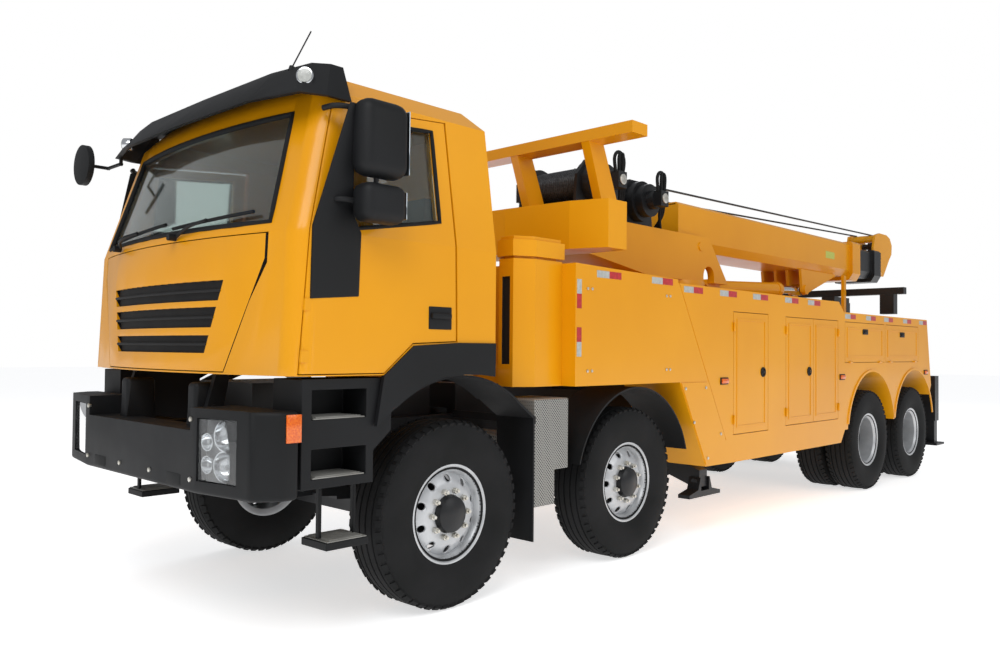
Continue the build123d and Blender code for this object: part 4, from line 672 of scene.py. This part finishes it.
def in_grille(centre):
    """True on the faces that lie in the grille's openings."""
    return centre.y - FRONT_AXLE_Y > front_y(centre.x, centre.z) + 0.009


ARCH_TRIM_X, ARCH_TRIM_TOP = 1.2504, 1.3985
# The faces in the grille's openings are near black: its black mesh, with painted shade inside it.
repaint("front_flap", 1, in_grille)
repaint("cab_shell", 1, lambda centre: abs(centre.x) > ARCH_TRIM_X or centre.z < ARCH_TRIM_TOP)

# %% [markdown]
# Two wipers lie low on the windscreen. Each arm is a bent bar from its spindle to the middle of a
# rubber blade, which follows the bow of the glass. The antenna stands on the roof's front edge, and
# a round lamp in a chrome rim looks out at each end of the visor.

# %% Wipers, antenna and marker lamps
for side_name, side in SIDES.items():
    pivot_x = 0.42 * side + 0.10
    blade = [(pivot_x + reach, front_y(pivot_x + reach, 2.235 + 0.05 * reach) - 0.014,
              2.235 + 0.05 * reach) for reach in (-0.36, -0.18, 0.0, 0.18, 0.36)]
    arm_root = (pivot_x - 0.30, front_y(pivot_x - 0.30, 2.16) - 0.012, 2.16)
    arm = hose([arm_root, (pivot_x - 0.16, front_y(pivot_x, 2.2) - 0.05, 2.205),
                (pivot_x, blade[2][1] - 0.018, blade[2][2])], 0.009, plastic)
    spindle = rod(arm_root, (arm_root[0], arm_root[1] - 0.045, arm_root[2]), 0.02, plastic)
    piece(f"wiper_{side_name}", "cab", hose(blade, 0.010, rubber), arm, spindle)
    rim = rod((side * 1.080, -1.000, 2.95), (side * 1.122, -1.042, 2.95), 0.046, chrome, edge=0.006)
    marker = rod((side * 1.085, -1.005, 2.95), (side * 1.128, -1.048, 2.95), 0.038, strip_grey,
                 edge=0.01)
    piece(f"visor_marker_{side_name}", "cab", rim, marker)
piece("antenna", "cab", rod((0.9, -0.985, 3.04), (0.9, -0.86, 3.285), 0.004, plastic, sides=12),
      rod((0.9, -0.985, 3.03), (0.9, -0.975, 3.06), 0.016, plastic))

# %% [markdown]
# The door mirrors are two soft moulded housings on one tube, the large one over the wide-angle one.
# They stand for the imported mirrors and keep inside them.

# %% Mirrors
HOUSINGS = (
    # Front, rear, bottom and top of each housing, and how far its outer face stands in
    (-0.880, -0.578, 2.432, 2.832, 0.0, 0.070),
    (-0.865, -0.590, 2.196, 2.398, 0.004, 0.055),
)
MIRROR_DEPTH = 0.165
for side_name, side in SIDES.items():
    low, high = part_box(f"mirror_{side_name}")
    outer = max(abs(low.x), abs(high.x))
    shapes = []
    for front, rear, z_low, z_high, inset, edge in HOUSINGS:
        x_out, x_in = side * (outer - inset), side * (outer - MIRROR_DEPTH)
        shapes.append(slab((x_in, front, z_low), (x_out, rear, z_high), plastic, edge))
        shapes.append(slab(
            (x_in + side * 0.022, rear - 0.004, z_low + 0.03),
            (x_out - side * 0.022, rear + 0.002, z_high - 0.03), mirror_glass, 0.001))
    tube_x = outer - 0.10
    shapes.append(rod((side * tube_x, -0.74, 2.25), (side * tube_x, -0.74, 2.80), 0.014,
                      black_paint))
    for z, root in ((2.79, 1.165), (2.30, 1.225)):
        shapes.append(hose([(side * root, -0.955, z), (side * (root + 0.07), -0.93, z + 0.005),
                            (side * (tube_x - 0.03), -0.80, z), (side * tube_x, -0.74, z)],
                           0.015, plastic))
    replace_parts(piece(f"mirror_housing_{side_name}", f"cab_door_{side_name}", *shapes),
                f"mirror_{side_name}")
piece("round_mirror_glass", "cab", rod((-1.355, -1.201, 2.81), (-1.355, -1.196, 2.81), 0.128,
                                       mirror_glass, sides=48))

# %% [markdown]
# A headlamp is a housing with two large chromed bowls, one above the other, and two small ones
# beside them, each with its bulb shield, all behind one clear cover. A bowl is round, so it is
# lathed. The whole lamp leans back towards the truck's side with the bumper's face. It stands for
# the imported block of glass.

# %% Headlamps
X_LOW, X_HIGH, Z_LOW, Z_HIGH = 0.742, 1.046, 0.862, 1.176
BOWL_OUTLINE = [(0.0, 0.96), (0.5, 0.86), (1.0, 0.43), (1.1, 0.0), (1.15, 0.0), (1.1, 0.48),
                (0.53, 0.92), (0.02, 1.06), (-0.06, 1.06), (-0.06, 0.96)]
BOWLS = (
    # Share of the width and of the height, and radius
    (0.62, 0.265, 0.072), (0.62, 0.745, 0.072), (0.19, 0.265, 0.042), (0.19, 0.625, 0.042),
)
BUMPER_FACE = -1.405
LAMP_SLOPE = 0.157
shapes = []
for side in SIDES.values():
    shapes.append(slab((side * X_LOW, BUMPER_FACE + 0.075, Z_LOW),
                       (side * X_HIGH, BUMPER_FACE + 0.125, Z_HIGH), silver))
    for share_x, share_z, size in BOWLS:
        x = side * (X_LOW + share_x * (X_HIGH - X_LOW))
        z = Z_LOW + share_z * (Z_HIGH - Z_LOW)
        shapes.append(lathe([(depth * size, radius * size) for depth, radius in BOWL_OUTLINE],
                            at(x, BUMPER_FACE + 0.026, z), chrome, turn=math.pi / 2, steps=48))
        shapes.append(rod((x, BUMPER_FACE + 0.035, z), (x, BUMPER_FACE + 0.095, z),
                          0.22 * size, silver))
    shapes.append(slab((side * X_LOW, BUMPER_FACE + 0.012, Z_LOW),
                       (side * X_HIGH, BUMPER_FACE + 0.018, Z_HIGH), lens_clear, 0.002))
for shape in shapes:
    for point in shape.data.vertices:
        point.co.y += LAMP_SLOPE * (abs(point.co.x) - X_LOW)
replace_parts(piece("headlamps", "root", *shapes), "front_lamps")

# %% [markdown]
# The bumper's corners carry an amber side lamp each. Two slots below let a towing eye in, each
# drawn as a thin near-black slab of painted shade on the face, and six bolts hold the face.

# %% Bumper's side lamps, slots and bolts
shapes = []
for side in SIDES.values():
    shapes.append(slab((side * 1.247, -1.20, 1.075), (side * 1.258, -1.115, 1.215), amber, 0.004))
    # Each slot is painted shade: a thin near-black slab on the bumper's face.
    shapes.append(slab((side * 0.41, BUMPER_FACE - 0.002, 0.815),
                       (side * 0.57, BUMPER_FACE + 0.01, 0.875), dark_hole, 0.002))
    for x, z in ((0.68, 1.17), (0.68, 0.86), (0.20, 0.86)):
        shapes.append(rod((side * x, BUMPER_FACE + 0.01, z), (side * x, BUMPER_FACE - 0.008, z),
                          0.014, zinc, sides=6, edge=0.002))
piece("bumper_details", "root", *shapes)

# %% [markdown]
# Each tread of the cab's steps is a steel sheet with raised ribs across it. It lies flush on the
# packed step, and the lowest one hangs on the step's bars.

# %% Treads of the cab's steps
TREADS = (
    # Height, then front and rear, inner and outer edges
    (0.886, -1.03, -0.71, 1.03, 1.228),
    (1.186, -1.03, -0.71, 1.03, 1.228),
    (0.546, -0.92, -0.67, 0.99, 1.205),
)
RIBS = 7
for side_name, side in SIDES.items():
    shapes = []
    for z, y_low, y_high, x_low, x_high in TREADS:
        shapes.append(slab((side * x_low, y_low, z - 0.006), (side * x_high, y_high, z),
                           sheet_steel, 0.001))
        for i in range(RIBS):
            x = x_low + (i + 0.5) * (x_high - x_low) / RIBS
            shapes.append(slab((side * (x - 0.004), y_low + 0.02, z - 0.001),
                               (side * (x + 0.004), y_high - 0.02, z + 0.006), sheet_steel, 0.0))
    piece(f"step_treads_{side_name}", "root", *shapes)

# %% [markdown]
# The body wears short reflective strips, grey in front and red behind, at an even step along its
# top edges. A second row runs down the front edge of the wide panel.

# %% Reflective strips and side markers
STRIP_LENGTH = 0.29
STRIP_HEIGHT = 0.05
STRIP_BACK, STRIP_FACE = 1.2498, 1.2516
STRIP_STARTS = (
    # Height of the strip's lower edge, and where each strip starts behind the first axle
    (2.056, (1.276, 1.961)),
    (2.014, (2.415, 2.983, 3.569, 4.207, 4.715)),
    (1.908, (5.640, 6.228, 6.781, 7.417, 8.000)),
)
MARKERS = ((3.055, 1.293), (5.556, 1.284), (8.24, 1.300))
for side_name, side in SIDES.items():
    shapes = []
    face, proud = side * STRIP_BACK, side * STRIP_FACE
    for z, starts in STRIP_STARTS:
        for start in starts:
            middle = start + STRIP_LENGTH / 2
            end, top = start + STRIP_LENGTH, z + STRIP_HEIGHT
            shapes.append(slab((face, start, z), (proud, middle, top), strip_grey, 0.0))
            shapes.append(slab((face, middle, z), (proud, end, top), strip_red, 0.0))
    for z, finish in ((1.93, strip_grey), (1.83, strip_red), (1.60, strip_red), (1.50, strip_grey)):
        shapes.append(slab((face, 1.055, z), (proud, 1.055 + STRIP_HEIGHT, z + 0.10), finish, 0.0))
    piece(f"reflective_strips_{side_name}", "root", *shapes)
    shapes = []
    for y, z in MARKERS:
        shapes.append(slab((side * 1.249, y - 0.065, z - 0.03),
                           (side * 1.258, y + 0.065, z + 0.03), plastic, 0.003))
        shapes.append(slab((side * 1.256, y - 0.055, z - 0.021),
                           (side * 1.270, y + 0.055, z + 0.021), amber, 0.006))
    piece(f"side_markers_{side_name}", "root", *shapes)

# %% [markdown]
# The tall lockers open by a round flush handle in a plastic cup, and the low ones by an oval
# handle. Each rides on its own lid. Zinc plated bolts hold the panels and the sloping leg's plate.

# %% Locker handles and the panels' bolts
ROUND_HANDLES = (("front", 3.76, 1.36), ("middle_1", 4.74, 1.355))
OVAL_HANDLES = (("upper_1", 6.20, 1.776), ("upper_2", 7.38, 1.764))
CUP_OUTLINE = [(0.0, 0.0), (0.0, 0.045), (0.010, 0.043), (0.010, 0.034), (0.003, 0.030),
               (0.003, 0.0)]
PANEL_BOLTS = [(y + step, z) for y in (1.17, 2.16) for z in (1.40, 1.97) for step in (0.0, 0.05)]
LEG_BOLTS = [(2.43, 1.245), (2.74, 1.245), (2.985, 0.85), (2.775, 0.665), (2.56, 0.97)]
for side_name, side in SIDES.items():
    for name, y, z in ROUND_HANDLES:
        cup = lathe(CUP_OUTLINE, at(side * 1.2495, y, z), plastic,
                    turn=0 if side > 0 else math.pi, steps=40)
        grip = slab((side * 1.250, y - 0.030, z - 0.008),
                    (side * 1.262, y + 0.030, z + 0.008), plastic, 0.003)
        piece(f"handle_{name}_{side_name}", f"locker_{name}_{side_name}", cup, grip)
    for name, y, z in OVAL_HANDLES:
        cup = slab((side * 1.249, y - 0.075, z - 0.030),
                   (side * 1.258, y + 0.075, z + 0.030), plastic, 0.004)
        grip = slab((side * 1.256, y - 0.05, z - 0.012),
                    (side * 1.268, y + 0.05, z + 0.008), plastic, 0.005)
        piece(f"handle_{name}_{side_name}", f"locker_{name}_{side_name}", cup, grip)
    bolts = [rod((side * 1.249, y, z), (side * 1.259, y, z), 0.011, zinc, sides=6, edge=0.0015)
             for y, z in PANEL_BOLTS]
    bolts += [rod((side * 1.257, y, z), (side * 1.267, y, z), 0.013, zinc, sides=6, edge=0.0015)
              for y, z in LEG_BOLTS]
    piece(f"panel_bolts_{side_name}", "root", *bolts)

# %% [markdown]
# The towers behind the cab have a slot whose faces take the near black of painted shade. Rear
# lamps are three lenses in a black tray, and the fuel tank has a steel neck with a plastic cap.

# %% Tower slots, rear lamps and the fuel cap
# The slot's inner faces are painted shade.
repaint("deck", 1, lambda centre: (
    abs(centre.x) > 0.95 and -3.714 < centre.y < -3.695 and centre.z < 2.04))
shapes = []
for side in SIDES.values():
    shapes.append(slab((side * 0.83, 8.40, 1.15), (side * 1.19, 8.462, 1.27), plastic, 0.004))
    for x_low, x_high, finish in ((0.84, 0.95, lens_clear), (0.955, 1.065, amber),
                                  (1.07, 1.18, red)):
        shapes.append(slab((side * x_low, 8.455, 1.16), (side * x_high, 8.474, 1.26),
                           finish, 0.004))
piece("rear_lamps", "root", *shapes)
piece("fuel_cap", "root", rod((-1.06, 0.86, 1.175), (-1.06, 0.86, 1.205), 0.045, sheet_steel),
      rod((-1.06, 0.86, 1.20), (-1.06, 0.86, 1.225), 0.052, plastic, edge=0.006))

# %% [markdown]
# A wheel is modelled once at the origin and copied to each place. The tyre is a lathed section with
# four grooves cut round it, and a ring of tread blocks, each turned a little, stands between them.
# The silver rim is lathed too, and ten hand holes are cut from its disc.

# %% Wheels
TYRE_OUTLINE = [(-0.1130, 0.264), (-0.125, 0.300), (-0.153, 0.370), (-0.155, 0.440),
                (-0.148, 0.505), (-0.130, 0.543)]
GROOVES = (-0.078, -0.027, 0.027, 0.078)
TREAD_DEPTH = 0.012
TREAD_ROWS = 54
TYRE_RADIUS = 0.560
LUG_SIZE = (0.038, 0.040, 0.022)
LUG_OUT, LUG_UP, LUG_LEAN, LUG_TWIST = 0.124, 0.541, 0.50, 0.12
NUT_COUNT = 10
NUT_CIRCLE = 0.140
HAND_HOLE_RADIUS = 0.022
ORIGIN = Vector()


def tyre_shape(x):
    """A tyre with its tread, its middle at a distance along the axle."""
    crown = []
    for groove in GROOVES:
        top = TYRE_RADIUS - 0.6 * groove ** 2
        crown += [(groove - 0.007, top), (groove - 0.004, top - TREAD_DEPTH),
                  (groove + 0.004, top - TREAD_DEPTH), (groove + 0.007, top)]
    outline = TYRE_OUTLINE + crown + [(-a, b) for a, b in TYRE_OUTLINE[::-1]]
    shapes = [lathe([(a + x, b) for a, b in outline], ORIGIN, rubber, steps=96)]
    for row in range(TREAD_ROWS):
        angle = 2 * math.pi * row / TREAD_ROWS
        for shoulder in (-1, 1):
            bpy.ops.mesh.primitive_cube_add(
                size=1.0, location=(x + shoulder * LUG_OUT, 0, LUG_UP))
            lug = bpy.context.active_object
            lug.scale = LUG_SIZE
            lug.rotation_euler = (0, shoulder * LUG_LEAN, LUG_TWIST * shoulder)
            bpy.ops.object.transform_apply(location=True, rotation=True, scale=True)
            lug.rotation_euler = (angle + 0.03 * shoulder, 0, 0)
            shapes.append(settle(lug, rubber))
    return shapes


def on_circle(radius, step):
    """A place on a circle of nuts round the origin, with the move that `at` makes taken back."""
    angle = 2 * math.pi * step / NUT_COUNT
    return radius * math.cos(angle) - FRONT_AXLE_Y, radius * math.sin(angle)


def nuts(face):
    """A circle of wheel nuts on their studs."""
    shapes = []
    for i in range(NUT_COUNT):
        y, z = on_circle(NUT_CIRCLE, i)
        shapes.append(rod((face, y, z), (face + 0.024, y, z), 0.019, zinc, sides=6, edge=0.002))
        shapes.append(rod((face + 0.02, y, z), (face + 0.040, y, z), 0.010, zinc, sides=12))
    return shapes


def hand_holes(rim, face, radius):
    """Cut a circle of round holes through a rim's disc."""
    for i in range(NUT_COUNT):
        y, z = on_circle(radius, i + 0.5)
        cutter = rod((face - 0.08, y, z), (face + 0.08, y, z), HAND_HOLE_RADIUS, silver, sides=20)
        cut = rim.modifiers.new("hole", "BOOLEAN")
        cut.operation, cut.object, cut.solver = "DIFFERENCE", cutter, "EXACT"
        pick(rim)
        bpy.ops.object.modifier_apply(modifier="hole")
        bpy.data.objects.remove(cutter)
    return rim


FRONT_RIM = [
    (0.113, 0.297), (0.1235, 0.298), (0.1235, 0.285), (0.108, 0.268), (0.086, 0.252),
    (0.066, 0.246), (0.098, 0.205), (0.108, 0.180), (0.108, 0.115), (0.100, 0.110), (0.098, 0.176),
    (0.088, 0.198), (0.050, 0.243), (-0.11, 0.246), (-0.1235, 0.285), (-0.1235, 0.298),
    (-0.113, 0.297), (-0.112, 0.264), (0.112, 0.264)]
FRONT_HUB = [
    (-0.09, 0.0), (-0.09, 0.200), (0.015, 0.200), (0.03, 0.15), (0.10, 0.118), (0.145, 0.105),
    (0.160, 0.085), (0.166, 0.0)]
TWIN = 0.1725
REAR_RIM = [
    (TWIN + 0.113, 0.297), (TWIN + 0.1235, 0.298), (TWIN + 0.1235, 0.285), (TWIN + 0.108, 0.262),
    (TWIN + 0.088, 0.247), (0.030, 0.243), (0.030, 0.115), (0.004, 0.115), (0.004, 0.246),
    (-TWIN - 0.11, 0.246), (-TWIN - 0.1235, 0.285), (-TWIN - 0.1235, 0.298),
    (-TWIN - 0.113, 0.297), (-TWIN - 0.112, 0.264), (TWIN + 0.112, 0.264)]
REAR_HUB = [
    (-0.28, 0.0), (-0.28, 0.203), (-0.06, 0.203), (-0.02, 0.15), (0.02, 0.118), (0.145, 0.115),
    (0.168, 0.095), (0.172, 0.0)]
FRONT_WHEEL_X, REAR_WHEEL_X = 1.02, 0.9125
front_wheel = gather(
    "front_wheel", *tyre_shape(0.0), *nuts(0.108),
    hand_holes(lathe(FRONT_RIM, ORIGIN, silver), 0.08, 0.212),
    lathe(FRONT_HUB, ORIGIN, black_paint))
rear_wheel = gather(
    "rear_wheel", *tyre_shape(TWIN), *tyre_shape(-TWIN), *nuts(0.030),
    hand_holes(lathe(REAR_RIM, ORIGIN, silver), 0.02, 0.200),
    lathe(REAR_HUB, ORIGIN, black_paint))
print("a front wheel has", len(front_wheel.data.polygons), "faces and a pair of rear ones",
      len(rear_wheel.data.polygons))
for side_name, side in SIDES.items():
    for axle, y in enumerate(AXLE_Y):
        pick(front_wheel if axle < 2 else rear_wheel)
        bpy.ops.object.duplicate()
        made = bpy.context.active_object
        made.rotation_euler = (0.3 * axle, 0, 0 if side > 0 else math.pi)
        made.location = (side * (FRONT_WHEEL_X if axle < 2 else REAR_WHEEL_X), y, HUB_Z)
        bpy.ops.object.transform_apply(location=True, rotation=True, scale=True)
        node = f"wheel_{axle + 1}_{side_name}"
        made.name = made.data.name = f"road_{node}"
        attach(made, node)
        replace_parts(made, node)
bpy.data.objects.remove(front_wheel)
bpy.data.objects.remove(rear_wheel)

# %% [markdown]
# Each winch holds steel rope, wound in a neat layer, so its coil is a lathed profile of half
# rounds. Two ropes run from the coils over the boom to the head. Each is cut where the boom's
# sections part; the last stretch rides on the head, and the stretches between two sections are
# left in place, on no body. Three rubber hoses run down from each winch's motor.

# %% Winch coils, ropes and hoses
ROPE_RADIUS = 0.011
WINCHES = ((2.43, 3.000), (3.08, 2.925))
DRUM_RADIUS = 0.12
COIL_HALF = 0.265
COIL_X = -0.012
COIL_DEPTH = 0.028
ROUND = (-0.9, -0.45, 0.0, 0.45, 0.9)
for number, (y, z) in enumerate(WINCHES):
    profile = [(-COIL_HALF, DRUM_RADIUS)]
    turns = int(COIL_HALF / ROPE_RADIUS)
    for i in range(turns):
        x = -COIL_HALF + (i + 0.5) * 2 * ROPE_RADIUS
        for share in ROUND:
            profile.append((x + share * ROPE_RADIUS,
                            DRUM_RADIUS + COIL_DEPTH + ROPE_RADIUS * math.sqrt(1 - share ** 2)))
    profile.append((COIL_HALF, DRUM_RADIUS))
    piece(f"rope_coil_{number + 1}", "turret",
          lathe(profile, at(COIL_X, y, z), wire_rope, steps=48))


ROPES = {
    # Sideways place, leaves the coil at (y, z), runs to (y, z) at the head
    "front": (0.10, (2.45, 3.163), (9.90, 3.310)),
    "rear": (-0.10, (3.10, 3.088), (9.47, 3.300)),
}
ROPE_STEPS = 24
CUTS = (("boom_outer", 4.00), ("boom_middle", 8.45), ("boom_head", 9.32))


def on_rope(name, place):
    """The point of a rope at a distance behind the first axle."""
    x, (y, z), (end_y, end_z) = ROPES[name]
    return (x, place, z + (end_z - z) * (place - y) / (end_y - y))


def stretch(name, body, start, end, then):
    """A taut stretch of rope between two places, riding on one body, or left in place when it spans
    two.
    """
    start, end = Vector(start), Vector(end)
    points = [tuple(start.lerp(end, i / ROPE_STEPS)) for i in range(ROPE_STEPS + 1)]
    made = hose(points, ROPE_RADIUS, wire_rope, straight=True)
    made.name = made.data.name = name
    if then:
        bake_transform(made)
    else:
        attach(made, body)
    print(name, "rides on", body, "and", then)


for name, (x, (y, z), (end_y, end_z)) in ROPES.items():
    bodies = ["turret"] + [body for body, _ in CUTS] + [None]
    places = [y] + [place for _, place in CUTS] + [end_y]
    for i in range(len(CUTS) + 1):
        stretch(f"rope_{name}_{i + 1}", bodies[i], on_rope(name, places[i]),
                on_rope(name, places[i + 1]), bodies[i + 1])

shapes = []
for y, z in WINCHES:
    for i in range(3):
        shapes.append(hose([
            (0.60, y + 0.05 * (i - 1), z + 0.06),
            (0.60, y + 0.06 * (i - 1), z + 0.20),
            (0.52 - 0.05 * i, y + 0.18 + 0.05 * i, z + 0.22),
            (0.36, y + 0.34 + 0.03 * i, z - 0.05),
            (0.33 - 0.04 * i, y + 0.40, 2.71)], 0.015, rubber))
    shapes.append(rod((0.639, y, z), (0.652, y, z), 0.045, zinc, edge=0.003))
piece("winch_hoses", "turret", *shapes)

# %% [markdown]
# The head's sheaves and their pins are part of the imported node, and only take the black finish. The
# boom's side carries a film label, left blank. It could be drawn in the paint's own nodes, but a
# thin slab that stands a millimetre proud of the steel is simpler to place.

# %% Boom head and the boom's blank label
repaint("boom_head", 1, lambda centre: (
    abs(centre.x) < 0.07 and centre.y > 5.30) or (centre.y > 5.2 and abs(centre.x) < 0.172))
piece("boom_label", "boom_outer",
      slab((0.2998, 7.40, 2.775), (0.3012, 7.68, 2.865), label_film, 0.0))

# %% [markdown]
# The floor and backdrop are plain. The camera sees them as white, while the lamps stay at a plain
# level, so that the paint renders about as it is written.

# %% Floor, backdrop and lights
bpy.ops.object.select_all(action="DESELECT")
bpy.ops.mesh.primitive_plane_add(size=120.0, location=(0, 0, 0))
floor = bpy.context.active_object
floor.name = "floor"
FLOOR_GLOW, ROOM_LEVEL = 0.62, 0.42
floor_finish, tree, shader, place = start_finish(
    "pale_floor", "#F2F2F2", 0.9, Emission_Color=(1, 1, 1, 1), Emission_Strength=FLOOR_GLOW)
floor.data.materials.append(floor_finish)

world = bpy.data.worlds.new("studio")
bpy.context.scene.world = world
world.use_nodes = True
tree = world.node_tree
tree.nodes.clear()
rays = add_node(tree, "ShaderNodeLightPath")
seen = add_node(tree, "ShaderNodeMath", {"operation": "MAXIMUM"},
                {0: rays.outputs["Is Camera Ray"], 1: rays.outputs["Is Transmission Ray"]})
soft = add_node(tree, "ShaderNodeBackground", {"Color": linear("#F4F6FA"), "Strength": ROOM_LEVEL})
white = add_node(tree, "ShaderNodeBackground", {"Color": (1, 1, 1, 1), "Strength": 1.0})
either = add_node(tree, "ShaderNodeMixShader", links={
    0: seen.outputs[0], 1: soft.outputs[0], 2: white.outputs[0]})
add_node(tree, "ShaderNodeOutputWorld", links={"Surface": either.outputs[0]})


def lamp(name, place, aim, size, power):
    """A square soft box at a place, aimed at a point, with its side in metres and its watts."""
    data = bpy.data.lights.new(name, "AREA")
    data.size, data.energy = size, power
    made = bpy.data.objects.new(name, data)
    bpy.context.scene.collection.objects.link(made)
    made.location = place
    made.rotation_mode = "QUATERNION"
    made.rotation_quaternion = (Vector(aim) - Vector(place)).to_track_quat("-Z", "Y")
    print(name, "gives", power, "W")


lamp("front_box", (6.0, -12.0, 10.5), (0, -3.0, 1.8), 7.0, 740.0)
lamp("side_box", (13.0, 1.0, 8.0), (0, 0.0, 1.5), 8.0, 330.0)
lamp("back_box", (-9.0, 12.0, 9.0), (0, 1.0, 1.5), 8.0, 420.0)
bpy.context.scene.view_settings.view_transform = "Standard"
